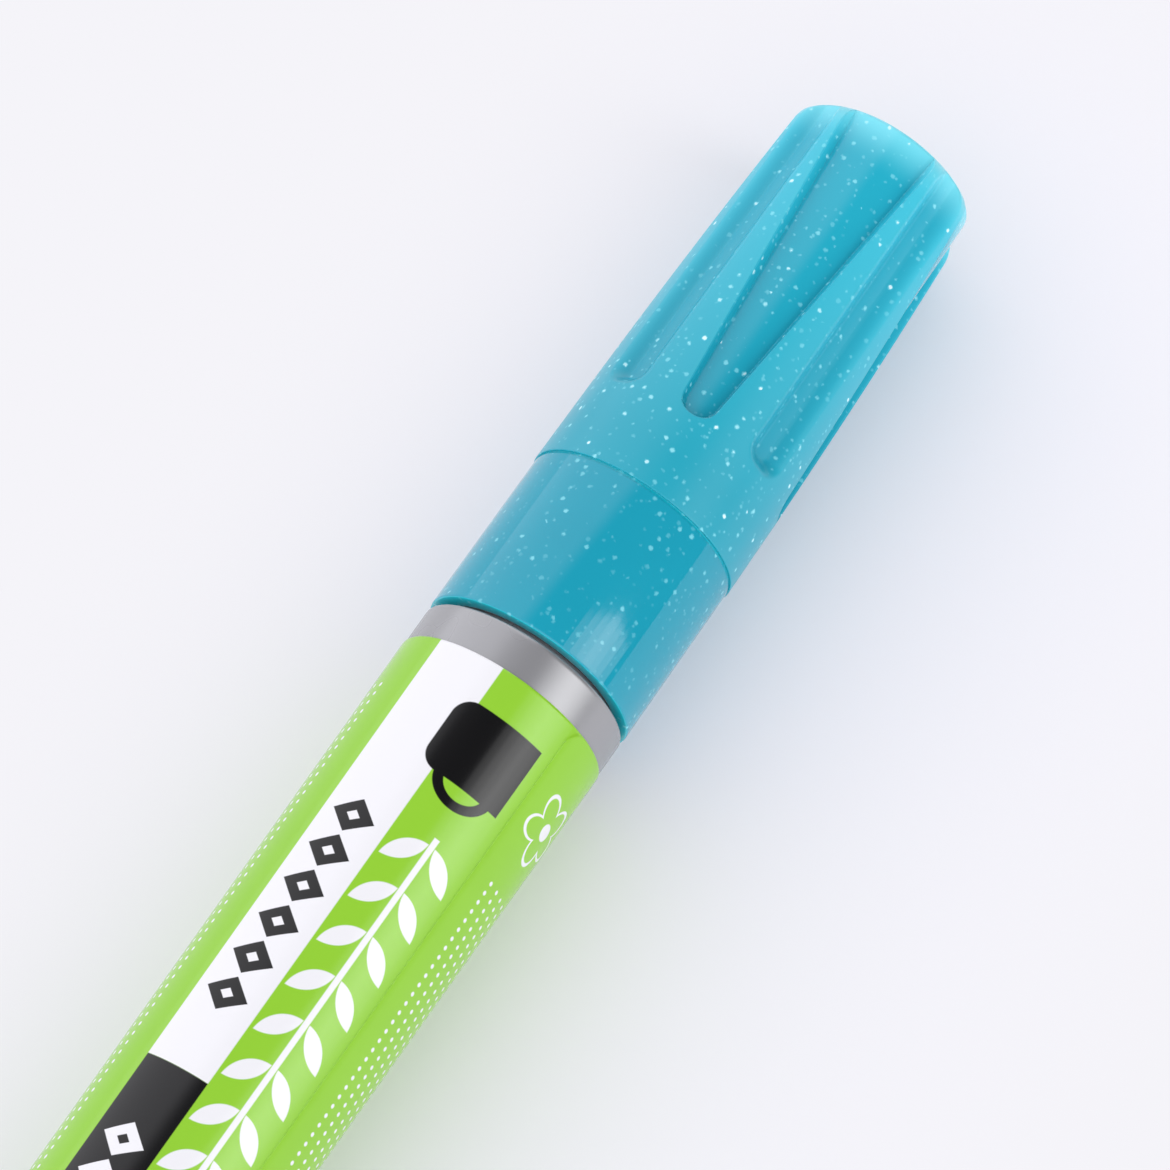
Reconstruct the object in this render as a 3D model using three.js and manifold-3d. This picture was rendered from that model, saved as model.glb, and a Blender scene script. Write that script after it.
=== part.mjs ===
// Porcelain paint marker with its cap on, lying on its side. Millimetres, +Z up.
// Lengths along the marker are counted from the cap's mouth: x grows toward the cap's
// closed end and is negative inside the barrel. The finished group is then moved so that
// the origin lies on the table, under the middle of the marker.
import * as THREE from 'three';
import { mergeVertices } from 'three/addons/utils/BufferGeometryUtils.js';
import Module from 'manifold-3d';

// Every turned piece has this many flats, one of them facing straight down, and the flats
// lie at the named radius
const TURNED_SIDES = 24;

// Cap shell: a smooth skirt at the mouth and a slightly prouder body behind the seam
const CAP_LENGTH = 43.4;
const CAP_MOUTH_RADIUS = 7.5;
const CAP_BODY_PROUD = 0.07;
const CAP_BODY_TAPER = 0.3;
const CAP_END_FILLET = 1.5;
const CAP_MOUTH_WALL = 1.08;
const CAP_MOUTH_CHAMFER = 0.15;
const CAP_BODY_WALL = 1.45;
const CAP_END_WALL = 1.6;
const CAP_STEP_CLEARANCE = 1.3;
const SKIRT_LENGTH = 12.15;
const SEAM_STEP = 0.08;
const SEAM_GROOVE_WIDTH = 0.14;
const SEAM_GROOVE_DEPTH = 0.12;

// Grip pockets round the cap body: wedges that widen toward the closed end, and straight
// slots between them
const POCKETS_OF_A_KIND = 4;
const POCKET_FIRST_ANGLE = 95;
const POCKET_DEPTH = 0.75;
const POCKET_START = 17.9;
const POCKET_RUNOUT = 2.4;
const WEDGE_APEX_RADIUS = 1.15;
const WEDGE_HALF_ANGLE = 6.0;
const SLOT_HALF_WIDTH = 1.55;
const SLOT_CORNER_RADIUS = 0.9;

// Cap liner: the inner cap that seals round the nose of the front section
const LINER_WALL = 1.0;
const LINER_BORE_CLEARANCE = 0.35;
const LINER_END_WALL = 1.4;
const LINER_FLANGE_LENGTH = 7.5;
const LINER_OVERLAP = 3.4;
const LINER_SEAL_WIDTH = 0.9;
const LINER_SEAL_CLEARANCE = 0.06;

// Barrel: a drafted tube whose front counterbore holds the front section
const BARREL_LENGTH = 93.5;
const BARREL_INSET = 0.06;
const BARREL_DRAFT = 0.5;
const BARREL_FRONT_WALL = 1.1;
const BARREL_WALL = 1.5;
const BARREL_FRONT_FILLET = 0.3;
const SHOULDER_GAP = 0.5;
const PRESS_CLEARANCE = 0.05;

// Printed film round the barrel
const LABEL_FRONT_MARGIN = 2.77;
const LABEL_REAR_MARGIN = 3.5;
const LABEL_THICKNESS = 0.08;
const LABEL_CLEARANCE = 0.02;

// Rear plug
const PLUG_FLANGE = 2.6;
const PLUG_SPIGOT_LENGTH = 6.0;
const PLUG_SPIGOT_WALL = 1.1;
const PLUG_END_WALL = 1.6;
const PLUG_EDGE_FILLET = 0.7;

// Front section: a plug in the barrel, a neck under the cap, a cone and a nose
const SECTION_PLUG_LENGTH = 12.5;
const NECK_LENGTH = 10.0;
const NECK_CLEARANCE = 0.22;
const SNAP_BEAD_HEIGHT = 0.12;
const SNAP_BEAD_WIDTH = 1.4;
const SNAP_BEAD_POSITION = 5.8;
const CONE_LENGTH = 10.5;
const CONE_CLEARANCE = 0.5;
const NOSE_LENGTH = 5.0;
const NOSE_RADIUS = 3.6;
const NOSE_CHAMFER = 0.4;
const NIB_GUIDE_LENGTH = 18.5;
const SECTION_CHAMBER_WALL = 1.8;
const SECTION_SOCKET_WALL = 1.24;

// Nib: a felt rod with a bullet tip, which can be pressed in by the valve's travel
const NIB_RADIUS = 2.0;
const NIB_CLEARANCE = 0.08;
const NIB_LENGTH = 32.8;
const NIB_PROTRUSION = 5.6;
const NIB_TIP_LENGTH = 3.4;
const VALVE_TRAVEL = 2.5;

// Valve: a housing pressed into the section, with a seat that the stem's washer closes
const HOUSING_WALL = 0.95;
const HOUSING_LENGTH = 12.6;
const HOUSING_NIB_OVERLAP = 0.4;
const SEAT_DEPTH = 7.0;
const SEAT_THICKNESS = 1.2;
const SEAT_HOLE_RADIUS = 2.0;
const STEM_RADIUS = 1.0;
const STEM_NIB_GAP = 0.3;
const HEAD_CLEARANCE = 0.4;
const HEAD_THICKNESS = 1.0;
const TAIL_LENGTH = 4.0;
const WASHER_THICKNESS = 1.0;

// Spring cage: a windowed cup that snaps into the housing's rear
const CAGE_WALL = 0.8;
const CAGE_INSERT_LENGTH = 3.0;
const CAGE_COLLAR_LENGTH = 0.9;
const CAGE_BODY_LENGTH = 9.8;
const CAGE_END_WALL = 1.0;
const CAGE_WINDOW_WIDTH = 2.4;
const CAGE_WINDOW_LENGTH = 5.0;

// Valve spring
const SPRING_MEAN_RADIUS = 2.0;
const SPRING_WIRE_RADIUS = 0.25;
const SPRING_CURLS = 7;
const SPRING_STEPS_PER_CURL = 8;
const SPRING_WIRE_SIDES = 5;
const SPRING_END_GAP = 0.1;
const SPRING_TAIL_CLEARANCE = 0.3;

// Mixing balls, loose in the paint; the distances are from the spring cage's rear
const BALL_RADIUS = 2.0;
const BALL_CLEARANCE = 0.1;
const BALL_DISTANCES = [24.0, 31.0];

// Colour, roughness and metalness of each material
const CAP_TURQUOISE = { color: '#2fa9c4', roughness: 0.42, metalness: 0 };
const BARREL_GREY = { color: '#a5a5a8', roughness: 0.4, metalness: 0 };
const LABEL_GREEN = { color: '#92ce3d', roughness: 0.35, metalness: 0 };
const NATURAL_WHITE = { color: '#e9ebe8', roughness: 0.5, metalness: 0 };
const NIB_FELT = { color: '#f3f1ea', roughness: 0.95, metalness: 0 };
const SEAL_RUBBER = { color: '#33363a', roughness: 0.8, metalness: 0 };
const STAINLESS = { color: '#b9bcc0', roughness: 0.25, metalness: 1 };

// Radii that mating pieces share
const capSeamRadius = CAP_MOUTH_RADIUS + CAP_BODY_PROUD;
const capEndRadius = capSeamRadius - CAP_BODY_TAPER;
const capBoreRadius = CAP_MOUTH_RADIUS - CAP_MOUTH_WALL;
const capBodyBoreRadius = capEndRadius - CAP_BODY_WALL;
const neckRadius = capBoreRadius - NECK_CLEARANCE;
const coneRadius = capBodyBoreRadius - CONE_CLEARANCE;
const linerBoreRadius = NOSE_RADIUS + LINER_BORE_CLEARANCE;
const barrelFrontRadius = CAP_MOUTH_RADIUS - BARREL_INSET;
const barrelSeatRadius = barrelFrontRadius - BARREL_FRONT_WALL;
const sectionPlugRadius = barrelSeatRadius - PRESS_CLEARANCE;
const sectionSocketRadius = sectionPlugRadius - SECTION_SOCKET_WALL;
const sectionChamberRadius = neckRadius - SECTION_CHAMBER_WALL;
const nibBoreRadius = NIB_RADIUS + NIB_CLEARANCE;
const housingRadius = sectionSocketRadius - PRESS_CLEARANCE;
const housingBoreRadius = housingRadius - HOUSING_WALL;
const cageRadius = housingBoreRadius - PRESS_CLEARANCE;
const cageBoreRadius = cageRadius - CAGE_WALL;
const headRadius = cageBoreRadius - HEAD_CLEARANCE;

// Places along the marker that mating pieces share, from the cap's end to the barrel's
const capInnerEnd = CAP_LENGTH - CAP_END_WALL;
const barrelFront = -SHOULDER_GAP;
const neckFront = barrelFront + NECK_LENGTH;
const noseRear = neckFront + CONE_LENGTH;
const noseFront = noseRear + NOSE_LENGTH;
const nibTip = noseFront + NIB_PROTRUSION;
const nibRear = nibTip - NIB_LENGTH;
const sectionRear = barrelFront - SECTION_PLUG_LENGTH;
const housingFront = nibRear - VALVE_TRAVEL + HOUSING_NIB_OVERLAP;
const housingRear = housingFront - HOUSING_LENGTH;
const seatFront = housingFront - SEAT_DEPTH;
const seatRear = seatFront - SEAT_THICKNESS;
const washerFront = seatRear - PRESS_CLEARANCE;
const washerRear = washerFront - WASHER_THICKNESS;
const headFront = washerRear - PRESS_CLEARANCE;
const headRear = headFront - HEAD_THICKNESS;
const collarFront = housingRear - PRESS_CLEARANCE;
const collarRear = collarFront - CAGE_COLLAR_LENGTH;
const cageRear = collarRear - CAGE_BODY_LENGTH;
const cageInnerEnd = cageRear + CAGE_END_WALL;
const barrelRear = barrelFront - BARREL_LENGTH;
const spigotFront = barrelRear + PLUG_SPIGOT_LENGTH;
const plugRear = barrelRear - PLUG_FLANGE;

const wasm = await Module();
wasm.setup();

function capBodyRadius(x) {
  const share = (x - SKIRT_LENGTH) / (CAP_LENGTH - SKIRT_LENGTH);
  return THREE.MathUtils.lerp(capSeamRadius, capEndRadius, share);
}

function barrelRadius(x) {
  const draft = Math.tan(THREE.MathUtils.degToRad(BARREL_DRAFT));
  return barrelFrontRadius - (barrelFront - x) * draft;
}

function barrelBoreRadius(x) {
  return barrelRadius(x) - BARREL_WALL;
}

// Points of a quarter round that rolls a turned edge of this radius over from the side to
// the end face at endX; direction is +1 where that end face looks along +x
function roundedEdge(endX, radius, fillet, direction, steps) {
  const points = [];
  for (let i = 0; i <= steps; i += 1) {
    const angle = (i / steps) * (Math.PI / 2);
    const x = endX - direction * fillet * (1 - Math.sin(angle));
    points.push([x, radius - fillet * (1 - Math.cos(angle))]);
  }
  return points;
}

// Turns a profile of [x, radius] points round the marker's axis. The profile either starts
// and ends on the axis or is closed here into a ring
function turned(profile) {
  const onAxis = profile[0][1] === 0;
  const outline = onAxis ? profile : [...profile, profile[0]];
  const spread = 1 / Math.cos(Math.PI / TURNED_SIDES);
  const points = outline.map(([x, radius]) => new THREE.Vector2(radius * spread, x));
  if (THREE.ShapeUtils.area(points) < 0) {
    points.reverse();
  }
  const geometry = new THREE.LatheGeometry(points, TURNED_SIDES, Math.PI / TURNED_SIDES);
  return geometry.rotateZ(-Math.PI / 2);
}

// Manifold solid of a closed geometry, without the empty triangles that a lathe has at its
// poles
function solidFrom(geometry) {
  const plain = new THREE.BufferGeometry();
  plain.setAttribute('position', geometry.getAttribute('position'));
  if (geometry.index) {
    plain.setIndex(geometry.index);
  }
  const merged = mergeVertices(plain, 1e-4);
  const corners = Array.from(merged.index.array);
  const triangles = [];
  for (let i = 0; i < corners.length; i += 3) {
    const [a, b, c] = corners.slice(i, i + 3);
    if (a !== b && b !== c && c !== a) {
      triangles.push(a, b, c);
    }
  }
  return new wasm.Manifold(new wasm.Mesh({
    numProp: 3,
    vertProperties: new Float32Array(merged.getAttribute('position').array),
    triVerts: new Uint32Array(triangles),
  }));
}

function geometryFrom(solid) {
  const mesh = solid.getMesh();
  const geometry = new THREE.BufferGeometry();
  geometry.setAttribute('position', new THREE.BufferAttribute(mesh.vertProperties, 3));
  geometry.setIndex(new THREE.BufferAttribute(mesh.triVerts, 1));
  geometry.computeVertexNormals();
  return geometry;
}

function joined(solids) {
  return solids.reduce((whole, solid) => whole.add(solid));
}

function capBlankProfile() {
  const skirtTop = capSeamRadius - SEAM_STEP;
  const grooveFloor = skirtTop - SEAM_GROOVE_DEPTH;
  const stepX = neckFront + CAP_STEP_CLEARANCE;
  return [
    [capInnerEnd, 0],
    [capInnerEnd, capBodyBoreRadius],
    [stepX, capBodyBoreRadius],
    [stepX - (capBoreRadius - capBodyBoreRadius), capBoreRadius],
    [CAP_MOUTH_CHAMFER, capBoreRadius],
    [0, capBoreRadius + CAP_MOUTH_CHAMFER],
    [0, CAP_MOUTH_RADIUS - CAP_MOUTH_CHAMFER],
    [CAP_MOUTH_CHAMFER, CAP_MOUTH_RADIUS],
    [SKIRT_LENGTH - SEAM_GROOVE_WIDTH, skirtTop],
    [SKIRT_LENGTH - SEAM_GROOVE_WIDTH, grooveFloor],
    [SKIRT_LENGTH, grooveFloor],
    [SKIRT_LENGTH, capSeamRadius],
    ...roundedEdge(CAP_LENGTH, capEndRadius, CAP_END_FILLET, 1, 4),
    [CAP_LENGTH, 0],
  ];
}

// Outline of a wedge pocket in the plane of x and the width across it
function wedgeOutline(endX) {
  const slope = THREE.MathUtils.degToRad(WEDGE_HALF_ANGLE);
  const centreX = POCKET_START + WEDGE_APEX_RADIUS;
  const endHalfWidth = WEDGE_APEX_RADIUS / Math.cos(slope) + (endX - centreX) * Math.tan(slope);
  const shape = new THREE.Shape();
  shape.moveTo(endX, -endHalfWidth);
  shape.absarc(centreX, 0, WEDGE_APEX_RADIUS, -Math.PI / 2 - slope, -1.5 * Math.PI + slope, true);
  shape.lineTo(endX, endHalfWidth);
  return shape;
}

// Outline of a straight pocket with rounded corners at the end nearer the mouth
function slotOutline(endX) {
  const half = SLOT_HALF_WIDTH;
  const corner = SLOT_CORNER_RADIUS;
  const cornerX = POCKET_START + corner;
  const shape = new THREE.Shape();
  shape.moveTo(endX, -half);
  shape.absarc(cornerX, corner - half, corner, -Math.PI / 2, -Math.PI, true);
  shape.absarc(cornerX, half - corner, corner, -Math.PI, -1.5 * Math.PI, true);
  shape.lineTo(endX, half);
  return shape;
}

// A pocket's outline pushed out through the cap wall, at this angle from +Y toward +Z
function pocketCutter(outline, angle) {
  const innerRadius = capEndRadius / 2;
  const reach = capSeamRadius;
  const geometry = new THREE.ExtrudeGeometry(outline, {
    depth: reach,
    bevelEnabled: false,
    curveSegments: 4,
  });
  geometry.translate(0, 0, innerRadius);
  geometry.rotateX(THREE.MathUtils.degToRad(angle - 90));
  return solidFrom(geometry);
}

// What the pockets leave standing: a core one pocket depth under the cap's surface that
// rises to the surface where the end's rounding begins
function pocketFloor() {
  const startX = POCKET_START - WEDGE_APEX_RADIUS;
  const riseEnd = CAP_LENGTH - CAP_END_FILLET;
  const riseStart = riseEnd - POCKET_RUNOUT;
  const beyond = CAP_LENGTH + CAP_END_FILLET;
  return solidFrom(turned([
    [startX, 0],
    [startX, capBodyRadius(startX) - POCKET_DEPTH],
    [riseStart, capBodyRadius(riseStart) - POCKET_DEPTH],
    [riseEnd, capBodyRadius(riseEnd)],
    [beyond, capBodyRadius(riseEnd) + CAP_END_FILLET],
    [beyond, 0],
  ]));
}

function capShell() {
  const endX = CAP_LENGTH;
  const cutters = [];
  for (let i = 0; i < POCKETS_OF_A_KIND; i += 1) {
    const angle = POCKET_FIRST_ANGLE + (i * 360) / POCKETS_OF_A_KIND;
    cutters.push(pocketCutter(wedgeOutline(endX), angle));
    cutters.push(pocketCutter(slotOutline(endX), angle + 180 / POCKETS_OF_A_KIND));
  }
  const pockets = joined(cutters).subtract(pocketFloor());
  return geometryFrom(solidFrom(turned(capBlankProfile())).subtract(pockets));
}

function capLiner() {
  const mouthX = noseFront - LINER_OVERLAP;
  const rearX = capInnerEnd - PRESS_CLEARANCE;
  const sleeveRadius = linerBoreRadius + LINER_WALL;
  const flangeRadius = capBodyBoreRadius - PRESS_CLEARANCE;
  const sealRadius = NOSE_RADIUS + LINER_SEAL_CLEARANCE;
  const sealX = mouthX + LINER_SEAL_WIDTH;
  const flangeX = rearX - LINER_FLANGE_LENGTH;
  return turned([
    [rearX - LINER_END_WALL, 0],
    [rearX - LINER_END_WALL, linerBoreRadius],
    [sealX + LINER_SEAL_WIDTH, linerBoreRadius],
    [sealX, sealRadius],
    [mouthX, linerBoreRadius],
    [mouthX, sleeveRadius],
    [flangeX, sleeveRadius],
    [flangeX, flangeRadius],
    [rearX, flangeRadius],
    [rearX, 0],
  ]);
}

function barrel() {
  const shoulderX = sectionRear - PRESS_CLEARANCE;
  return turned([
    [barrelFront, barrelSeatRadius],
    [shoulderX, barrelSeatRadius],
    [shoulderX, barrelBoreRadius(shoulderX)],
    [barrelRear, barrelBoreRadius(barrelRear)],
    [barrelRear, barrelRadius(barrelRear)],
    ...roundedEdge(barrelFront, barrelFrontRadius, BARREL_FRONT_FILLET, 1, 2),
  ]);
}

function barrelLabel() {
  const frontX = barrelFront - LABEL_FRONT_MARGIN;
  const rearX = barrelRear + LABEL_REAR_MARGIN;
  const lift = LABEL_CLEARANCE + LABEL_THICKNESS;
  return turned([
    [rearX, barrelRadius(rearX) + LABEL_CLEARANCE],
    [frontX, barrelRadius(frontX) + LABEL_CLEARANCE],
    [frontX, barrelRadius(frontX) + lift],
    [rearX, barrelRadius(rearX) + lift],
  ]);
}

function rearPlug() {
  const flangeX = barrelRear - PRESS_CLEARANCE;
  const spigotRadius = barrelBoreRadius(barrelRear) - PRESS_CLEARANCE;
  const coreRadius = spigotRadius - PLUG_SPIGOT_WALL;
  const coreEnd = plugRear + PLUG_END_WALL;
  return turned([
    [coreEnd, 0],
    [coreEnd, coreRadius],
    [spigotFront, coreRadius],
    [spigotFront, spigotRadius],
    [flangeX, spigotRadius],
    [flangeX, barrelRadius(barrelRear)],
    ...roundedEdge(plugRear, barrelRadius(barrelRear), PLUG_EDGE_FILLET, -1, 3),
    [plugRear, 0],
  ]);
}

function frontSection() {
  const beadRadius = neckRadius + SNAP_BEAD_HEIGHT;
  const beadX = barrelFront + SNAP_BEAD_POSITION;
  const guideRear = noseFront - NIB_GUIDE_LENGTH;
  const stopX = housingFront + PRESS_CLEARANCE;
  return turned([
    [sectionRear, sectionSocketRadius],
    [sectionRear, sectionPlugRadius],
    [barrelFront, sectionPlugRadius],
    [barrelFront, neckRadius],
    [beadX - SNAP_BEAD_WIDTH / 2, neckRadius],
    [beadX, beadRadius],
    [beadX + SNAP_BEAD_WIDTH / 2, neckRadius],
    [neckFront, neckRadius],
    [neckFront + (neckRadius - coneRadius), coneRadius],
    [noseRear, NOSE_RADIUS],
    [noseFront - NOSE_CHAMFER, NOSE_RADIUS],
    [noseFront, NOSE_RADIUS - NOSE_CHAMFER],
    [noseFront, nibBoreRadius],
    [guideRear, nibBoreRadius],
    [guideRear - (sectionChamberRadius - nibBoreRadius), sectionChamberRadius],
    [stopX, sectionChamberRadius],
    [stopX, sectionSocketRadius],
  ]);
}

function nib() {
  const tipShape = [[0, 1], [0.42, 0.86], [0.74, 0.58], [0.94, 0.28], [1, 0.1]];
  const shoulderX = nibTip - NIB_TIP_LENGTH;
  const tip = tipShape.map(([along, out]) => [
    shoulderX + along * NIB_TIP_LENGTH,
    out * NIB_RADIUS,
  ]);
  return turned([[nibRear, 0], [nibRear, NIB_RADIUS], ...tip, [nibTip, 0]]);
}

function valveHousing() {
  return turned([
    [housingFront, housingBoreRadius],
    [housingFront, housingRadius],
    [housingRear, housingRadius],
    [housingRear, housingBoreRadius],
    [seatRear, housingBoreRadius],
    [seatRear, SEAT_HOLE_RADIUS],
    [seatFront, SEAT_HOLE_RADIUS],
    [seatFront, housingBoreRadius],
  ]);
}

function valveStem() {
  const frontX = nibRear - STEM_NIB_GAP;
  const tailRadius = SPRING_MEAN_RADIUS - SPRING_WIRE_RADIUS - SPRING_TAIL_CLEARANCE;
  return turned([
    [headRear - TAIL_LENGTH, 0],
    [headRear - TAIL_LENGTH, tailRadius],
    [headRear, tailRadius],
    [headRear, headRadius],
    [headFront, headRadius],
    [headFront, STEM_RADIUS],
    [frontX, STEM_RADIUS],
    [frontX, 0],
  ]);
}

function valveWasher() {
  return turned([
    [washerRear, STEM_RADIUS + PRESS_CLEARANCE],
    [washerRear, headRadius],
    [washerFront, headRadius],
    [washerFront, STEM_RADIUS + PRESS_CLEARANCE],
  ]);
}

function springCage() {
  const insertFront = housingRear + CAGE_INSERT_LENGTH;
  const cup = solidFrom(turned([
    [cageRear, 0],
    [cageRear, cageRadius],
    [collarRear, cageRadius],
    [collarRear, housingRadius],
    [collarFront, housingRadius],
    [collarFront, cageRadius],
    [insertFront, cageRadius],
    [insertFront, cageBoreRadius],
    [cageInnerEnd, cageBoreRadius],
    [cageInnerEnd, 0],
  ]));
  const windowX = (collarRear + cageInnerEnd) / 2;
  const across = cageRadius * 3;
  const sideways = new THREE.BoxGeometry(CAGE_WINDOW_LENGTH, across, CAGE_WINDOW_WIDTH);
  const upright = new THREE.BoxGeometry(CAGE_WINDOW_LENGTH, CAGE_WINDOW_WIDTH, across);
  const windows = [sideways, upright].map((box) => solidFrom(box.translate(windowX, 0, 0)));
  return geometryFrom(cup.subtract(joined(windows)));
}

// A point on the helix that the spring's wire follows, after this many steps
function springCentre(step) {
  const lastStep = SPRING_CURLS * SPRING_STEPS_PER_CURL;
  const frontX = headRear - SPRING_END_GAP - SPRING_WIRE_RADIUS;
  const rearX = cageInnerEnd + SPRING_END_GAP + SPRING_WIRE_RADIUS;
  const angle = (step / SPRING_STEPS_PER_CURL) * 2 * Math.PI;
  return new THREE.Vector3(
    THREE.MathUtils.lerp(frontX, rearX, step / lastStep),
    SPRING_MEAN_RADIUS * Math.cos(angle),
    SPRING_MEAN_RADIUS * Math.sin(angle),
  );
}

// Least gap between one curl's wire and any wire at least half a curl further on
function springGap() {
  const lastStep = SPRING_CURLS * SPRING_STEPS_PER_CURL;
  let least = Infinity;
  for (let i = 0; i <= lastStep; i += 1) {
    for (let j = i + SPRING_STEPS_PER_CURL / 2; j <= lastStep; j += 1) {
      least = Math.min(least, springCentre(i).distanceTo(springCentre(j)));
    }
  }
  return least - 2 * SPRING_WIRE_RADIUS;
}

// The spring is one unbroken wire: a ring of points round each step of the helix
function valveSpring() {
  const lastStep = SPRING_CURLS * SPRING_STEPS_PER_CURL;
  const sides = SPRING_WIRE_SIDES;
  const positions = [];
  const triangles = [];
  const along = new THREE.Vector3();
  for (let step = 0; step <= lastStep; step += 1) {
    const centre = springCentre(step);
    const outward = new THREE.Vector3(0, centre.y, centre.z).normalize();
    along.subVectors(springCentre(step + 0.5), springCentre(step - 0.5)).normalize();
    const across = new THREE.Vector3().crossVectors(along, outward);
    for (let side = 0; side < sides; side += 1) {
      const angle = (side / sides) * 2 * Math.PI;
      const point = centre.clone()
        .addScaledVector(outward, SPRING_WIRE_RADIUS * Math.cos(angle))
        .addScaledVector(across, SPRING_WIRE_RADIUS * Math.sin(angle));
      positions.push(point.x, point.y, point.z);
    }
  }
  for (let step = 0; step < lastStep; step += 1) {
    for (let side = 0; side < sides; side += 1) {
      const next = (side + 1) % sides;
      const a = step * sides + side;
      const b = step * sides + next;
      triangles.push(a, b, b + sides, a, b + sides, a + sides);
    }
  }
  const lastRing = lastStep * sides;
  for (let side = 1; side < sides - 1; side += 1) {
    triangles.push(0, side + 1, side);
    triangles.push(lastRing, lastRing + side, lastRing + side + 1);
  }
  const geometry = new THREE.BufferGeometry();
  geometry.setAttribute('position', new THREE.Float32BufferAttribute(positions, 3));
  geometry.setIndex(triangles);
  geometry.computeVertexNormals();
  return geometry;
}

// Two balls lie side by side on the lower wall of the bore, so that each can roll the
// whole way between the spring cage and the rear plug
function mixingBall(index) {
  const boreRadius = barrelBoreRadius(spigotFront);
  const fromAxis = boreRadius - BALL_RADIUS - BALL_CLEARANCE;
  const sideways = BALL_RADIUS + BALL_CLEARANCE / 2;
  const down = Math.sqrt(Math.max(fromAxis ** 2 - sideways ** 2, 0));
  const side = index === 0 ? 1 : -1;
  const ball = new THREE.SphereGeometry(BALL_RADIUS, 12, 8);
  return ball.translate(cageRear - BALL_DISTANCES[index], side * sideways, -down);
}

const marker = new THREE.Group();
marker.position.set(-(CAP_LENGTH + plugRear) / 2, 0, capSeamRadius);

function addPiece(name, geometry, finish) {
  const piece = new THREE.Mesh(geometry, new THREE.MeshStandardMaterial(finish));
  piece.name = name;
  marker.add(piece);
}

addPiece('cap_shell', capShell(), CAP_TURQUOISE);
addPiece('cap_liner', capLiner(), NATURAL_WHITE);
addPiece('barrel', barrel(), BARREL_GREY);
addPiece('barrel_label', barrelLabel(), LABEL_GREEN);
addPiece('rear_plug', rearPlug(), CAP_TURQUOISE);
addPiece('front_section', frontSection(), BARREL_GREY);
addPiece('nib', nib(), NIB_FELT);
addPiece('valve_housing', valveHousing(), NATURAL_WHITE);
addPiece('valve_stem', valveStem(), NATURAL_WHITE);
addPiece('valve_washer', valveWasher(), SEAL_RUBBER);
addPiece('spring_cage', springCage(), NATURAL_WHITE);
addPiece('valve_spring', valveSpring(), STAINLESS);
BALL_DISTANCES.forEach((_, index) => {
  addPiece(`mixing_ball_${index + 1}`, mixingBall(index), STAINLESS);
});

console.log(`least gap between the spring's curls: ${springGap().toFixed(2)} mm`);

export default marker;
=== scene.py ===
# A porcelain paint marker with its cap on, lying on a pale table. The pieces follow the
# order in which the marker is put together, and lengths are in millimetres, counted along
# the marker from the cap's mouth toward the cap's closed end, until they go into a mesh.
# Each 1000 turns metres into millimetres or back.
import math

import bpy
import numpy as np
from mathutils import Matrix, Vector


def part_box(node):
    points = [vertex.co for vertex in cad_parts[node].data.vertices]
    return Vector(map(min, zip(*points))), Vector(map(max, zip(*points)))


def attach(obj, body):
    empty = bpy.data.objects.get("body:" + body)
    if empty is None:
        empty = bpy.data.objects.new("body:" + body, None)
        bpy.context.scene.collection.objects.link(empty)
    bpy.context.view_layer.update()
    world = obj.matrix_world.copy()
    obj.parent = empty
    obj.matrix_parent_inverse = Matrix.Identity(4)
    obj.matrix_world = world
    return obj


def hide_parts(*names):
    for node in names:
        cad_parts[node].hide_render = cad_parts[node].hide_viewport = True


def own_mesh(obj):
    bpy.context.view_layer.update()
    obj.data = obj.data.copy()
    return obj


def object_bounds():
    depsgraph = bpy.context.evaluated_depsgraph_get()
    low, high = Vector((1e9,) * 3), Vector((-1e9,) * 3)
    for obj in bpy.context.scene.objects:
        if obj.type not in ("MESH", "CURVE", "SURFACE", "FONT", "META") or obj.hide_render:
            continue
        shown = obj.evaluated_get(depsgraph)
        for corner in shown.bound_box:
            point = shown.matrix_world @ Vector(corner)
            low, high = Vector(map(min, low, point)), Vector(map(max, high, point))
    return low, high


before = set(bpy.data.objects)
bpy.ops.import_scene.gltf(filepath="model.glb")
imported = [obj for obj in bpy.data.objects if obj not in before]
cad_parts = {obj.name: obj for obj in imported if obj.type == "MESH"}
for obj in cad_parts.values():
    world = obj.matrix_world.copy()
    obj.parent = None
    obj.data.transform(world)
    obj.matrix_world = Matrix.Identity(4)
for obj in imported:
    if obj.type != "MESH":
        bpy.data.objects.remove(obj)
cad_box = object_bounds()

# Valve housing: a short natural polypropylene tube with a seat ring inside, moulded in one
# shot. It is pressed into the rear of the front section and carries the whole valve.
HOUSING_OUTER, HOUSING_BORE, HOUSING_SEAT_BORE = 5.0, 4.05, 2.0
HOUSING_SEAT_DEPTH, HOUSING_SEAT_THICKNESS = 7.0, 1.2
HOUSING_EDGE, HOUSING_BORE_EDGE, HOUSING_SEAT_EDGE = 0.25, 0.1, 0.15
NATURAL_WHITE, NATURAL_WHITE_DIM = (0.80, 0.82, 0.79), (0.74, 0.77, 0.73)
GRAIN_DETAIL, MOTTLE_PER_METRE = 3.0, 180.0

cap_low, cap_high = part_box("cap_shell")
mouth = cap_low.x * 1000
axis_height = (cap_low.z + cap_high.z) * 500


def span(node):
    """Rear and front end of a CAD node, as millimetres in front of the cap's mouth."""
    low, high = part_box(node)
    return low.x * 1000 - mouth, high.x * 1000 - mouth


def shown(name, data):
    """New object in the scene, at the origin, with this data."""
    piece = bpy.data.objects.new(name, data)
    bpy.context.scene.collection.objects.link(piece)
    return piece


def smooth_piece(name, material, points, faces):
    """New piece of one material with smooth shading, from points in millimetres."""
    mesh = bpy.data.meshes.new(name)
    mesh.from_pydata(points / 1000, [], faces)
    mesh.shade_smooth()
    mesh.materials.append(material)
    return shown(name, mesh)


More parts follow.
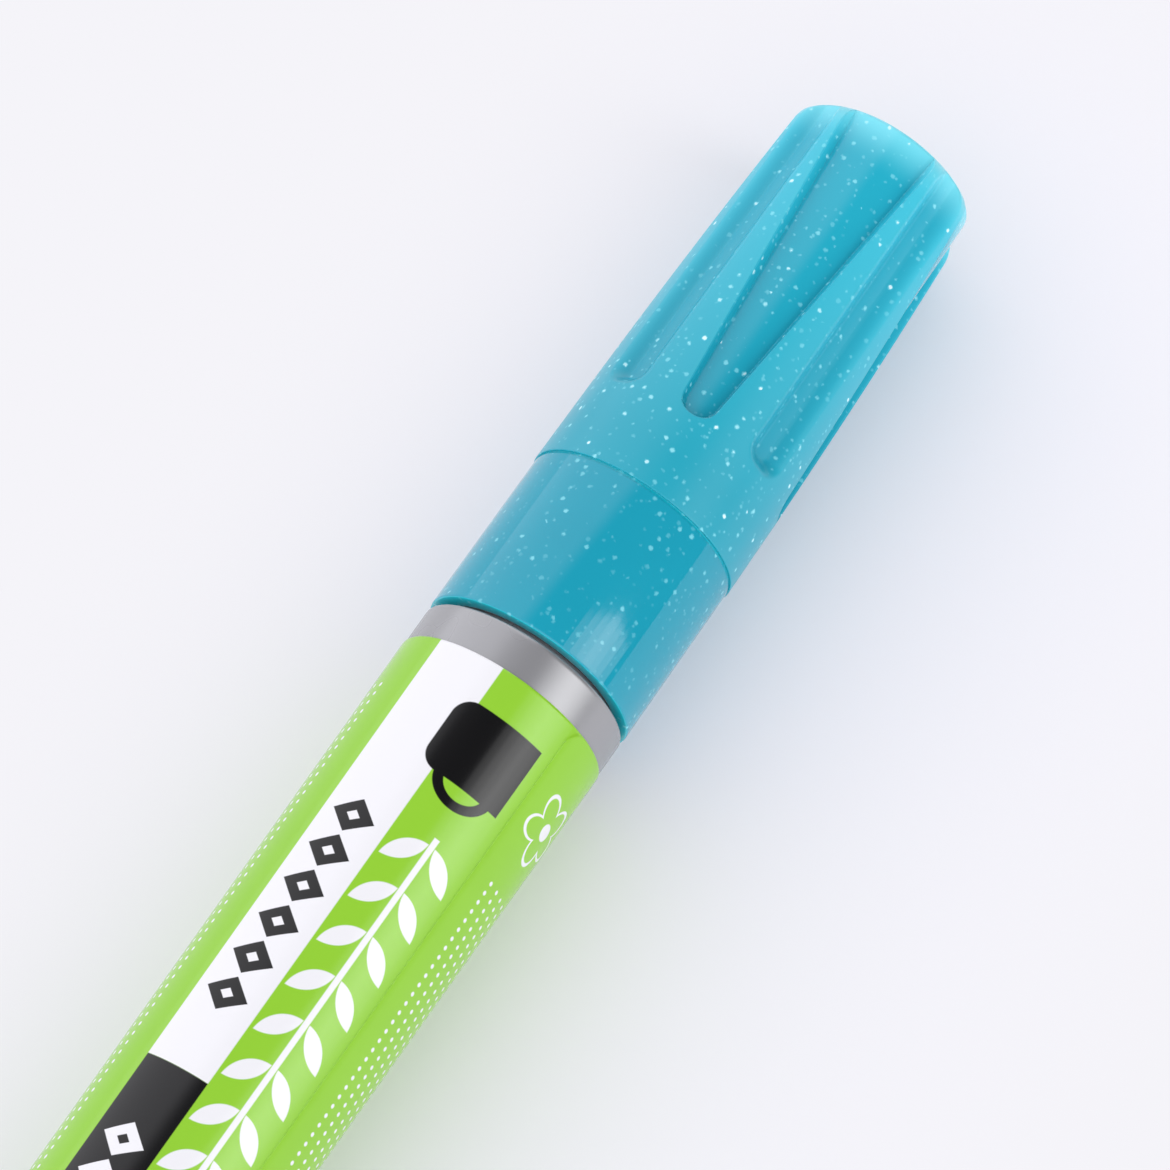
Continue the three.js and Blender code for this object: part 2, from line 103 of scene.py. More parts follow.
def rounded(corners, steps=5):
    """Profile of (x, radius, fillet) corners with each fillet drawn as the parabola that is
    tangent to both sides, P = (1-s)^2 A + 2s(1-s) corner + s^2 B, where A and B lie one
    fillet from the corner. A point beside A and B keeps the long sides flat when shaded."""
    places = [np.array(corner[:2], float) for corner in corners]
    fillets = [corner[2] if len(corner) > 2 else 0.0 for corner in corners]
    share = np.linspace(0, 1, steps + 1)[:, None]
    runs = []
    for i, (place, fillet) in enumerate(zip(places, fillets)):
        if not fillet:
            runs.append(place[None])
            continue
        back, ahead = (side / np.linalg.norm(side) for side in
                       (places[i - 1] - place, places[(i + 1) % len(places)] - place))
        start, end = place + back * fillet, place + ahead * fillet
        arc = (1 - share) ** 2 * start + 2 * share * (1 - share) * place + share ** 2 * end
        runs += [start[None] + back * fillet * 0.3, arc, end[None] + ahead * fillet * 0.3]
    return np.concatenate(runs)


def skin(name, material, along, radius, angle, **marks):
    """Closed surface about the marker's axis from three arrays that broadcast to rings by
    points of a ring: point = (mouth + along, radius cos angle, axis + radius sin angle).
    A ring of radius zero is one point. Without one, the last ring joins the first. Rings
    that run clockwise in the plane of along and radius are turned round first. Each mark
    is an array that becomes an attribute of the points."""
    along, radius, angle, *values = np.broadcast_arrays(along, radius, angle, *marks.values())
    ahead, out = along[:, 0], radius[:, 0]
    if np.sum(ahead * np.roll(out, -1) - np.roll(ahead, -1) * out) < 0:
        along, radius, angle, *values = (grid[::-1] for grid in (along, radius, angle, *values))
    points = np.stack((mouth + along, radius * np.cos(angle),
                       axis_height + radius * np.sin(angle)), -1).reshape(-1, 3)
    numbers = np.arange(along.size).reshape(along.shape)
    poles = radius.max(1) < 1e-9
    numbers[poles] = numbers[poles][:, :1]
    if not poles.any():
        numbers = np.vstack((numbers, numbers[:1]))
    near, far = numbers[:-1], numbers[1:]
    cells = np.stack((near, far, np.roll(far, -1, 1), np.roll(near, -1, 1)), -1).reshape(-1, 4)
    at_start, at_end = cells[:, 0] == cells[:, 3], cells[:, 1] == cells[:, 2]
    used, cells = np.unique(cells, return_inverse=True)
    cells = cells.reshape(-1, 4)
    faces = cells[~at_start & ~at_end].tolist()
    faces += cells[at_start][:, :3].tolist() + cells[at_end][:, [0, 1, 3]].tolist()
    piece = smooth_piece(name, material, points[used], faces)
    for mark, value in zip(marks, values):
        layer = piece.data.attributes.new(mark, "FLOAT", "POINT")
        layer.data.foreach_set("value", value.ravel()[used].astype(np.float32))
    return piece


def turned(name, material, corners, columns=96):
    """Piece turned from a profile of (x, radius, fillet) corners: a full circle at each."""
    profile = rounded(corners)
    around = np.arange(columns) * 2 * np.pi / columns
    return skin(name, material, profile[:, :1], profile[:, 1:], around[None])


def feed(tree, node, *values, **named):
    """Gives a node's inputs, in order or by name, a link where the value is an output of
    another node, or else the plain value. Returns the node."""
    sockets = [*node.inputs[:len(values)], *(node.inputs[title.replace("_", " ")] for title in named)]
    for socket, value in zip(sockets, (*values, *named.values())):
        if isinstance(value, bpy.types.NodeSocket):
            tree.links.new(value, socket)
        else:
            socket.default_value = value
    return node


def added(tree, kind, *values, **named):
    """New shader node of this kind with its inputs fed. Returns its outputs."""
    return feed(tree, tree.nodes.new("ShaderNode" + kind), *values, **named).outputs


def sums(tree):
    """Gives the function that adds a Math node to this tree and returns its result."""
    def result(operation, *values, clamp=False):
        node = tree.nodes.new("ShaderNodeMath")
        node.operation, node.use_clamp = operation, clamp
        return feed(tree, node, *values).outputs[0]
    return result


def effect(name, takes, gives):
    """Empty group of shader nodes with named inputs, {name: value}, and {name: kind}
    outputs. Returns the group, its inputs by name and a function that sets an output."""
    group = bpy.data.node_groups.new(name, "ShaderNodeTree")
    for title, value in takes.items():
        socket = group.interface.new_socket(title, in_out="INPUT", socket_type="NodeSocketFloat")
        socket.default_value = value
    for title, kind in gives.items():
        group.interface.new_socket(title, in_out="OUTPUT", socket_type="NodeSocket" + kind)
    entry = group.nodes.new("NodeGroupInput")
    leave = group.nodes.new("NodeGroupOutput")
    return group, entry.outputs, lambda title, value: group.links.new(value, leave.inputs[title])


def placed(tree, group, **values):
    """Puts a group into a material with these input values and returns its outputs."""
    node = tree.nodes.new("ShaderNodeGroup")
    node.node_tree = group
    return feed(tree, node, **values).outputs


def finish_of(name, **plain):
    """New material whose Principled shader has these plain values on its own sockets."""
    material = bpy.data.materials.new(name)
    material.use_nodes = True
    tree = material.node_tree
    return material, tree, feed(tree, tree.nodes["Principled BSDF"], **plain)


def blended(tree, share, first, second):
    """Mix of two colours or outputs: first where share is 0, second where it is 1."""
    node = feed(tree, tree.nodes.new("ShaderNodeMix"), share)
    node.data_type = "RGBA"
    for socket, value in ((node.inputs[6], first), (node.inputs[7], second)):
        if isinstance(value, tuple):
            socket.default_value = (*value, 1)
        else:
            tree.links.new(value, socket)
    return node.outputs[2]


def ramped(tree, value, low, high, out_low=0.0, out_high=1.0):
    """Smooth step of value from low to high, given out between out_low and out_high."""
    node = tree.nodes.new("ShaderNodeMapRange")
    node.interpolation_type = "SMOOTHSTEP"
    return feed(tree, node, value, low, high, out_low, out_high).outputs[0]


def object_place(tree):
    """The object's own coordinates, in metres."""
    return added(tree, "TexCoord")["Object"]


def noise(tree, per_metre, detail=2.0, place=None):
    """Outputs of a noise texture with this many waves per metre of the object, or per unit
    of other coordinates."""
    return added(tree, "TexNoise", place or object_place(tree), Scale=per_metre, Detail=detail)


def bumped(tree, height, strength, distance):
    """Normal of a surface that rises and falls by this height."""
    return added(tree, "Bump", Strength=strength, Distance=distance, Height=height)[0]


# Moulded grain: a fine bump and a slow mottle that every plastic of the marker shares
moulded_grain, takes, give = effect(
    "moulded_grain", {"Grain per mm": 6.0, "Depth": 0.002, "Strength": 0.15},
    {"Normal": "Vector", "Mottle": "Float"})
do = sums(moulded_grain)
grain = noise(moulded_grain, do("MULTIPLY", takes["Grain per mm"], 1000.0), GRAIN_DETAIL)[0]
give("Normal", bumped(moulded_grain, grain, takes["Strength"], do("MULTIPLY", takes["Depth"], 0.001)))
give("Mottle", noise(moulded_grain, MOTTLE_PER_METRE)[0])


def grained(name, dark, light, grain, **plain):
    """Material with the moulded grain, mottled between two colours. Returns it with its
    tree, its shader and the mottle."""
    material, tree, shader = finish_of(name, **plain)
    found = placed(tree, moulded_grain, **grain)
    colour = blended(tree, found["Mottle"], dark, light)
    feed(tree, shader, Normal=found["Normal"], Base_Color=colour)
    return material, tree, shader, found["Mottle"]


natural_plastic = grained("natural_plastic", NATURAL_WHITE_DIM, NATURAL_WHITE,
                          {"Grain_per_mm": 4.0, "Depth": 0.006}, Roughness=0.45)[0]

rear, front = span("valve_housing")
seat_front = front - HOUSING_SEAT_DEPTH
seat_rear = seat_front - HOUSING_SEAT_THICKNESS
housing = turned("housing_tube", natural_plastic, [
    (front, HOUSING_BORE, HOUSING_BORE_EDGE), (front, HOUSING_OUTER, HOUSING_EDGE),
    (rear, HOUSING_OUTER, HOUSING_EDGE), (rear, HOUSING_BORE, HOUSING_BORE_EDGE),
    (seat_rear, HOUSING_BORE, HOUSING_BORE_EDGE), (seat_rear, HOUSING_SEAT_BORE, HOUSING_SEAT_EDGE),
    (seat_front, HOUSING_SEAT_BORE, HOUSING_SEAT_EDGE), (seat_front, HOUSING_BORE, HOUSING_BORE_EDGE)])
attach(housing, "barrel")
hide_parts("valve_housing")

# Valve stem: an acetal pin whose flange carries the washer. The nib pushes its front end,
# and its tail steers the spring.
STEM_PIN, STEM_FLANGE, STEM_TAIL = 1.0, 2.8, 1.45
SMALL_COLUMNS = 64
STEM_TAIL_LENGTH, STEM_FLANGE_THICKNESS = 4.0, 1.0
STEM_TAIL_EDGE, STEM_TAIL_ROOT, STEM_FLANGE_EDGE = 0.4, 0.2, 0.15
STEM_PIN_EDGE, STEM_PIN_ROOT = 0.25, 0.02

rear, front = span("valve_stem")
flange_rear = rear + STEM_TAIL_LENGTH
flange_front = flange_rear + STEM_FLANGE_THICKNESS
stem = turned("valve_pin", natural_plastic, [
    (rear, 0), (rear, STEM_TAIL, STEM_TAIL_EDGE), (flange_rear, STEM_TAIL, STEM_TAIL_ROOT),
    (flange_rear, STEM_FLANGE, STEM_FLANGE_EDGE), (flange_front, STEM_FLANGE, STEM_FLANGE_EDGE),
    (flange_front, STEM_PIN, STEM_PIN_ROOT), (front, STEM_PIN, STEM_PIN_EDGE), (front, 0)],
    columns=SMALL_COLUMNS)
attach(stem, "valve")
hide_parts("valve_stem")

# Valve washer: a ring of dark nitrile rubber, punched from sheet, which sits on the stem's
# flange and closes the seat. Punching leaves its sides slightly rougher than its faces.
WASHER_HOLE, WASHER_OUTER, WASHER_HOLE_EDGE, WASHER_EDGE = 1.05, 2.8, 0.06, 0.12
RUBBER_DARK, RUBBER_LIGHT = (0.022, 0.024, 0.027), (0.042, 0.045, 0.05)

rubber = grained("nitrile_rubber", RUBBER_DARK, RUBBER_LIGHT,
                 {"Grain_per_mm": 9.0, "Depth": 0.02, "Strength": 0.4}, Roughness=0.75)[0]

rear, front = span("valve_washer")
washer = turned("seal_ring", rubber, [
    (rear, WASHER_HOLE, WASHER_HOLE_EDGE), (front, WASHER_HOLE, WASHER_HOLE_EDGE),
    (front, WASHER_OUTER, WASHER_EDGE), (rear, WASHER_OUTER, WASHER_EDGE)], columns=SMALL_COLUMNS)
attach(washer, "valve")
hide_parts("valve_washer")

# Valve spring: stainless wire coiled into seven turns, its end turns closed up against the
# flange and the cage. It presses the washer onto the seat and gives way by the stem's travel.
WIRE_RADIUS, COIL_RADIUS, COILS, CLOSED_TURN = 0.25, 2.0, 7, 0.8
RINGS_A_TURN, WIRE_SIDES, EASED_RINGS = 28, 10, 9
STEEL_DARK, STEEL_LIGHT = (0.50, 0.51, 0.53), (0.62, 0.63, 0.65)

steel = grained("stainless_wire", STEEL_DARK, STEEL_LIGHT,
                {"Grain_per_mm": 14.0, "Depth": 0.003, "Strength": 0.25},
                Metallic=1.0, Roughness=0.24)[0]


def coil(name, material, rear, front):
    """Wire along a helix: centre = (x(t), R cos 2 pi t, R sin 2 pi t) for t turns, where x
    climbs by one wire a turn in the closed end turns and evenly between them, and each bend
    of x is eased by a mean over a few rings. Each ring of the wire is spread by the outward
    and the cross direction, and both ends are capped."""
    turns = np.linspace(0, COILS, COILS * RINGS_A_TURN + 1)
    shut = 2 * WIRE_RADIUS * CLOSED_TURN
    climb = np.interp(turns, [0, CLOSED_TURN, COILS - CLOSED_TURN, COILS],
                      [rear + WIRE_RADIUS, rear + WIRE_RADIUS + shut,
                       front - WIRE_RADIUS - shut, front - WIRE_RADIUS])
    climb = np.pad(climb, EASED_RINGS // 2, mode="reflect", reflect_type="odd")
    climb = np.convolve(climb, np.ones(EASED_RINGS) / EASED_RINGS, "valid")
    phase = turns * 2 * np.pi
    out = np.stack((0 * phase, np.cos(phase), np.sin(phase)), -1)
    centre = np.stack((climb, COIL_RADIUS * out[:, 1], COIL_RADIUS * out[:, 2]), -1)
    ahead = np.gradient(centre, axis=0)
    ahead /= np.linalg.norm(ahead, axis=1, keepdims=True)
    across = np.cross(ahead, out)
    around = np.arange(WIRE_SIDES)[None, :, None] * 2 * np.pi / WIRE_SIDES
    points = centre[:, None] + WIRE_RADIUS * (np.cos(around) * out[:, None]
                                              + np.sin(around) * across[:, None])
    points = np.concatenate((points.reshape(-1, 3), centre[[0, -1]])) + (mouth, 0, axis_height)
    numbers = np.arange(turns.size * WIRE_SIDES).reshape(-1, WIRE_SIDES)
    beside = np.roll(numbers, -1, 1)
    faces = np.stack((numbers[:-1], beside[:-1], beside[1:], numbers[1:]), -1).reshape(-1, 4).tolist()
    first, last = numbers.size, numbers.size + 1
    faces += [[first, b, a] for a, b in zip(numbers[0].tolist(), beside[0].tolist())]
    faces += [[last, a, b] for a, b in zip(numbers[-1].tolist(), beside[-1].tolist())]
    return smooth_piece(name, material, points, faces)


rear, front = span("valve_spring")
spring = coil("spring_wire", steel, rear, front)
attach(spring, "barrel")
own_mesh(spring)
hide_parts("valve_spring")

# Spring cage: a natural polypropylene cup with four windows for the paint. It snaps into
# the housing behind the spring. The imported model's own shape is right, so it stays.
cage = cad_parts["spring_cage"]
cage.data.materials.clear()
cage.data.materials.append(natural_plastic)

# Front section: one grey polypropylene moulding, with a plug that is pressed into the
# barrel, the neck on which the cap snaps with a low bead, and the cone and nose of the nib.
SECTION_PLUG_LENGTH, SECTION_PLUG_RADIUS, SECTION_SOCKET_RADIUS = 12.5, 6.29, 5.05
NECK_RADIUS, NECK_LENGTH = 6.2, 10.0
BEAD_HEIGHT, BEAD_WIDTH, BEAD_POSITION, BEAD_EDGE = 0.12, 1.4, 5.8, 0.35
SECTION_EDGE, SOCKET_EDGE, STEP_EDGE, SHARP_EDGE, STOP_EDGE = 0.3, 0.15, 0.03, 0.02, 0.05
CONE_RADIUS, CONE_EDGE, NOSE_RADIUS, NOSE_LENGTH = 5.32, 0.35, 3.6, 5.0
NOSE_ROOT, NOSE_EDGE = 0.8, 0.4
NIB_BORE, GUIDE_LENGTH, CHAMBER_RADIUS, CHAMBER_EDGE, STOP_GAP = 2.08, 18.5, 4.4, 0.1, 0.05
BARREL_GREY, BARREL_GREY_DARK = (0.366, 0.369, 0.380), (0.354, 0.357, 0.368)
BARREL_ROUGHNESS, MOTTLE_RANGE = (0.265, 0.275), (0.3, 0.7)

barrel_plastic, tree, shader, mottle = grained(
    "silver_grey_plastic", BARREL_GREY_DARK, BARREL_GREY,
    {"Grain_per_mm": 5.0, "Depth": 0.002, "Strength": 0.1}, Metallic=0.42, Specular_IOR_Level=0.9)
feed(tree, shader, Roughness=ramped(tree, mottle, *MOTTLE_RANGE, *BARREL_ROUGHNESS))

rear, front = span("front_section")
shoulder = rear + SECTION_PLUG_LENGTH
neck_front = shoulder + NECK_LENGTH
bead = shoulder + BEAD_POSITION
housing_stop = span("valve_housing")[1] + STOP_GAP
guide_rear = front - GUIDE_LENGTH
section = turned("writing_section", barrel_plastic, [
    (rear, SECTION_SOCKET_RADIUS, SOCKET_EDGE), (rear, SECTION_PLUG_RADIUS, SECTION_EDGE),
    (shoulder, SECTION_PLUG_RADIUS, STEP_EDGE), (shoulder, NECK_RADIUS, SHARP_EDGE),
    (bead - BEAD_WIDTH / 2, NECK_RADIUS, SECTION_EDGE), (bead, NECK_RADIUS + BEAD_HEIGHT, BEAD_EDGE),
    (bead + BEAD_WIDTH / 2, NECK_RADIUS, SECTION_EDGE), (neck_front, NECK_RADIUS, SECTION_EDGE),
    (neck_front + NECK_RADIUS - CONE_RADIUS, CONE_RADIUS, CONE_EDGE),
    (front - NOSE_LENGTH, NOSE_RADIUS, NOSE_ROOT), (front, NOSE_RADIUS, NOSE_EDGE),
    (front, NIB_BORE, SOCKET_EDGE), (guide_rear, NIB_BORE, SECTION_EDGE),
    (guide_rear - CHAMBER_RADIUS + NIB_BORE, CHAMBER_RADIUS, SECTION_EDGE),
    (housing_stop, CHAMBER_RADIUS, CHAMBER_EDGE), (housing_stop, SECTION_SOCKET_RADIUS, STOP_EDGE)])
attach(section, "barrel")
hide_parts("front_section")

# Nib: a rod of bonded polyester fibres, ground to a bullet tip. Its fibres run along the
# marker, and it slides back by the valve's travel when it is pressed.
NIB_RADIUS, NIB_TIP_LENGTH, NIB_REAR_EDGE = 2.0, 3.4, 0.12
NIB_TIP_RISE, NIB_TIP_FULLNESS, NIB_TIP_RINGS = 2.1, 0.62, 13
FELT_LIGHT, FELT_DARK, FELT_RANGE = (0.86, 0.85, 0.81), (0.66, 0.65, 0.61), (0.3, 0.65)
FIBRES_PER_METRE, FIBRE_DETAIL, FIBRE_BUMP, FIBRE_HEIGHT = (700.0, 9000.0, 9000.0), 4.0, 0.5, 0.00006

# Marker coordinates: millimetres along the marker from the cap's mouth, and degrees round
# it from the line that faces up at the viewer, with the jump on the underside
TOP_LINE = math.radians(103.8)
marker_place, takes, give = effect("marker_place", {}, {"Along": "Float", "Turn": "Float"})
do = sums(marker_place)
forward, left, height = added(marker_place, "SeparateXYZ", object_place(marker_place))
give("Along", do("MULTIPLY_ADD", forward, 1000.0, -mouth))
height = do("SUBTRACT", height, axis_height / 1000)
upward = do("ADD", do("MULTIPLY", left, math.cos(TOP_LINE)),
            do("MULTIPLY", height, math.sin(TOP_LINE)))
sideways = do("ADD", do("MULTIPLY", left, -math.sin(TOP_LINE)),
              do("MULTIPLY", height, math.cos(TOP_LINE)))
give("Turn", do("DEGREES", do("ARCTAN2", sideways, upward)))

felt, tree, shader = finish_of("fibre_nib", Roughness=0.95, Sheen_Weight=0.2)
drawn_out = added(tree, "Mapping", object_place(tree), Scale=FIBRES_PER_METRE)[0]
fibres = noise(tree, 1.0, FIBRE_DETAIL, drawn_out)[0]
colour = blended(tree, ramped(tree, fibres, *FELT_RANGE), FELT_DARK, FELT_LIGHT)
feed(tree, shader, Normal=bumped(tree, fibres, FIBRE_BUMP, FIBRE_HEIGHT), Base_Color=colour)

rear, front = span("nib")
tip = [(front - NIB_TIP_LENGTH * (1 - s), NIB_RADIUS * (1 - s ** NIB_TIP_RISE) ** NIB_TIP_FULLNESS)
       for s in np.linspace(0, 1, NIB_TIP_RINGS + 2)[1:-1]]
nib = turned("felt_nib", felt, [
    (rear, 0), (rear, NIB_RADIUS, NIB_REAR_EDGE), (front - NIB_TIP_LENGTH, NIB_RADIUS),
    *tip, (front, 0)], columns=SMALL_COLUMNS)
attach(nib, "nib")
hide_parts("nib")

# Mixing balls: two hardened steel balls, ground and left loose in the barrel, which rattle
# along its wall and stir the paint. Their faint scuffs come from that.
BALL_DARK, BALL_LIGHT = (0.55, 0.56, 0.58), (0.66, 0.67, 0.68)
BALL_MOTTLE_RANGE, BALL_ROUGHNESS = (0.35, 0.65), (0.1, 0.2)
BALL_RINGS, BALL_COLUMNS = 33, 48

polished, tree, shader, mottle = grained(
    "ground_steel", BALL_DARK, BALL_LIGHT,
    {"Grain_per_mm": 3.0, "Depth": 0.001, "Strength": 0.1}, Metallic=1.0)
feed(tree, shader, Roughness=ramped(tree, mottle, *BALL_MOTTLE_RANGE, *BALL_ROUGHNESS))


def ball(name, material, low, high):
    """Sphere that fills a box: centre + r (sin p cos q, sin p sin q, cos p), p from pole to
    pole and q once round, turned out as rings of a profile about the ball's own axis."""
    centre = (low + high) * 500
    radius = (high.z - low.z) * 500
    fall = np.linspace(0, np.pi, BALL_RINGS)
    out = radius * np.sin(fall)
    out[[0, -1]] = 0
    around = np.arange(BALL_COLUMNS) * 2 * np.pi / BALL_COLUMNS
    along = centre.x - mouth + radius * np.cos(fall)
    piece = skin(name, material, along[:, None], out[:, None], around[None])
    piece.data.transform(Matrix.Translation((0, centre.y / 1000, (centre.z - axis_height) / 1000)))
    return piece


for number in (1, 2):
    mixing_ball = ball(f"steel_ball_{number}", polished, *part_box(f"mixing_ball_{number}"))
    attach(mixing_ball, f"ball_{number}")
    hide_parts(f"mixing_ball_{number}")

# Barrel: an injection moulded tube of silver-grey polypropylene with half a degree of draft
# and a counterbore for the front section. Its bare front edge shows as a collar below the cap.
BARREL_FRONT_RADIUS, BARREL_DRAFT, BARREL_WALL, BARREL_SEAT_RADIUS = 7.44, 0.5, 1.5, 6.34
BARREL_FRONT_FILLET, BARREL_REAR_EDGE, BARREL_SEAT_EDGE, SEAT_SLACK = 0.3, 0.06, 0.08, 0.05
WIDE_COLUMNS = 160

rear, front = span("barrel")
slope = math.tan(math.radians(BARREL_DRAFT))
rear_radius = BARREL_FRONT_RADIUS - (front - rear) * slope
seat_end = span("front_section")[0] - SEAT_SLACK
seat_end_bore = BARREL_FRONT_RADIUS - (front - seat_end) * slope - BARREL_WALL
barrel = turned("barrel_tube", barrel_plastic, [
    (front, BARREL_SEAT_RADIUS, BARREL_SEAT_EDGE), (seat_end, BARREL_SEAT_RADIUS),
    (seat_end, seat_end_bore), (rear, rear_radius - BARREL_WALL), (rear, rear_radius, BARREL_REAR_EDGE),
    (front, BARREL_FRONT_RADIUS, BARREL_FRONT_FILLET)], columns=WIDE_COLUMNS)
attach(barrel, "barrel")
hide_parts("barrel")

# Cap: one piece of translucent turquoise styrene with glitter in the melt. The skirt at the
# mouth is polished in the mould, the body behind a fine seam is satin, and eight pockets are
# sunk in it for grip: four wedges that open toward the closed end and a slot between each two.
CAP_LENGTH, CAP_MOUTH_RADIUS, CAP_SEAM_RADIUS, CAP_END_RADIUS = 43.4, 7.5, 7.57, 7.27
CAP_BORE, CAP_BODY_BORE, CAP_INNER_END, CAP_STEP = 6.42, 5.82, 41.8, 10.8
CAP_INNER_FILLET, CAP_STEP_FILLET, CAP_END_FILLET, CAP_RIM_FILLET = 0.5, 0.2, 2.0, 0.14
SKIRT_STRAIGHT, SKIRT_MIDDLE = 4, 8
SEAM, SEAM_STEP, SEAM_WIDTH, SEAM_DEPTH = 12.15, 0.08, 0.20, 0.12
SEAM_EDGE, SEAM_ROOT, SEAM_BESIDE = 0.05, 0.03, 0.5
POCKET_START, WEDGE_DEPTH, WEDGE_WALL, SLOT_DEPTH, SLOT_WALL = 17.9, 0.85, 0.13, 0.80, 1.2
WEDGE_APEX, WEDGE_HALF_ANGLE, WEDGE_ANGLE = 1.3, 5.6, 96.0
SLOT_HALF_WIDTH, SLOT_CORNER = 1.76, 1.5
GATE_DEPTH, GATE_RADIUS, GATE_WALL = 0.12, 0.45, 0.35
TURQUOISE, TURQUOISE_DEEP = (0.0130, 0.355, 0.480), (0.0110, 0.325, 0.445)
# Painted sheen: the ribs' satin colour is lighter than the plastic, standing in for the sheen of the
# satin finish.
TURQUOISE_RIB_SHEEN, TURQUOISE_RIB_SHEEN_END_GLOW = (0.017, 0.380, 0.500), (0.045, 0.550, 0.700)
TURQUOISE_FLOOR, TURQUOISE_FLOOR_END_GLOW = (0.0130, 0.350, 0.470), (0.0200, 0.430, 0.570)
# Painted glow: the ribs' and floors' end colours above and the first colour below are paler, standing
# in for light glowing through the thinner plastic of the closed end.
TURQUOISE_END_GLOW, TURQUOISE_RIM_GLOW = (0.20, 0.78, 0.90), (0.015, 0.56, 0.66)
# Painted light: the mouth edge's colour above and the groove's colour below are lighter than the
# plastic, lifting the shade at the mouth's edge and in the seam's groove.
TURQUOISE_GROOVE_PAINTED_LIGHT = (0.008, 0.43, 0.53)
# FLECK is the flakes' own colour; FLECK_GLINT is a painted glint on the brightest flakes.
FLECK, FLECK_GLINT = (0.30, 0.86, 0.95), (0.80, 0.98, 1.0)

# Where the cap's rings lie: before the pockets, over their rounded ends, along them, round
# the end's edge, and as shares of the flat end's radius
RINGS_BEFORE = (SEAM + 0.3, POCKET_START - 0.3, 6)
RINGS_OVER_ENDS = (POCKET_START - 0.12, POCKET_START + 1.6, 56)
RINGS_ALONG = (POCKET_START + 1.9, CAP_LENGTH - CAP_END_FILLET, 44)
RINGS_ROUND_EDGE = 12
RINGS_ON_END = (0.97, 0.83, 0.48, 0.24, 0.18, 0.13, 0.08, 0.0)
# How many columns an eighth of the cap has on the wedge's floor, its wall, the rib beside it,
# the slot's wall and its floor, and how far in degrees the dense runs reach past each edge
COLUMNS_OF_EIGHTH = (10, 8, 7, 14, 6)
PAST_WEDGE, PAST_RIB, PAST_RIM, PAST_FOOT = 0.8, 1.0, 0.3, 0.5
# Lengths across the marker are measured along this radius, between the cap's and the label's
ARC_RADIUS = 7.45


def wedge_depth_in(x, across):
    """Distance inside a wedge's outline, in mm: from a circle at its apex, or from the two
    straight edges that leave the circle at the half angle."""
    lean = math.radians(WEDGE_HALF_ANGLE)
    ahead, aside = x - POCKET_START - WEDGE_APEX, np.abs(across)
    on_edge = ahead * math.cos(lean) + aside * math.sin(lean) > 0
    from_edge = aside * math.cos(lean) - ahead * math.sin(lean)
    return WEDGE_APEX - np.where(on_edge, from_edge, np.hypot(ahead, aside))


def slot_depth_in(x, across):
    """Distance inside a slot's outline, in mm: the rounded box of its half width, open
    toward the cap's end."""
    aside = np.abs(across) - SLOT_HALF_WIDTH + SLOT_CORNER
    short = POCKET_START + SLOT_CORNER - x
    outside = np.hypot(np.maximum(aside, 0), np.maximum(short, 0))
    return SLOT_CORNER - outside - np.minimum(np.maximum(aside, short), 0)


def smooth(share):
    """Smooth step 3s^2 - 2s^3 of a share that is held between 0 and 1."""
    share = np.clip(share, 0, 1)
    return share * share * (3 - 2 * share)


def taper_at(x):
    """Radius of the cap's body without its pockets: an even taper from seam to end."""
    return CAP_SEAM_RADIUS + (CAP_END_RADIUS - CAP_SEAM_RADIUS) * (x - SEAM) / (CAP_LENGTH - SEAM)


def cap_profile():
    """Places and radii of the cap's rings, from the middle of the inner end round the mouth
    to the middle of the closed end, whose edge is a quarter circle. Also gives the number
    of the body's first ring."""
    inner = rounded([
        (CAP_INNER_END, 0), (CAP_INNER_END, CAP_BODY_BORE, CAP_INNER_FILLET),
        (CAP_STEP, CAP_BODY_BORE, CAP_STEP_FILLET),
        (CAP_STEP - CAP_BORE + CAP_BODY_BORE, CAP_BORE, CAP_STEP_FILLET),
        (0, CAP_BORE, CAP_RIM_FILLET), (0, CAP_MOUTH_RADIUS, CAP_RIM_FILLET),
        (SKIRT_STRAIGHT, CAP_MOUTH_RADIUS)])[:-1]
    skirt_end = CAP_SEAM_RADIUS - SEAM_STEP
    skirt = rounded([
        (0, CAP_MOUTH_RADIUS), (SKIRT_STRAIGHT, CAP_MOUTH_RADIUS), (SKIRT_MIDDLE, CAP_MOUTH_RADIUS),
        (SEAM - SEAM_WIDTH, skirt_end, SEAM_EDGE),
        (SEAM - SEAM_WIDTH, skirt_end - SEAM_DEPTH, SEAM_ROOT),
        (SEAM, skirt_end - SEAM_DEPTH, SEAM_ROOT), (SEAM, CAP_SEAM_RADIUS, SEAM_EDGE),
        (SEAM + SEAM_BESIDE, CAP_SEAM_RADIUS)], steps=3)[1:-1]
    body = np.concatenate([np.linspace(*run) for run in (RINGS_BEFORE, RINGS_OVER_ENDS, RINGS_ALONG)])
    roll = np.linspace(0, np.pi / 2, RINGS_ROUND_EDGE + 1)[1:]
    flat = CAP_END_RADIUS - CAP_END_FILLET
    face = flat * np.array(RINGS_ON_END)
    x = np.concatenate((inner[:, 0], skirt[:, 0], body,
                        CAP_LENGTH - CAP_END_FILLET * (1 - np.sin(roll)),
                        np.full(face.size, CAP_LENGTH)))
    radius = np.concatenate((inner[:, 1], skirt[:, 1], taper_at(body),
                             flat + CAP_END_FILLET * np.cos(roll), face))
    return x, radius, len(inner) + len(skirt)


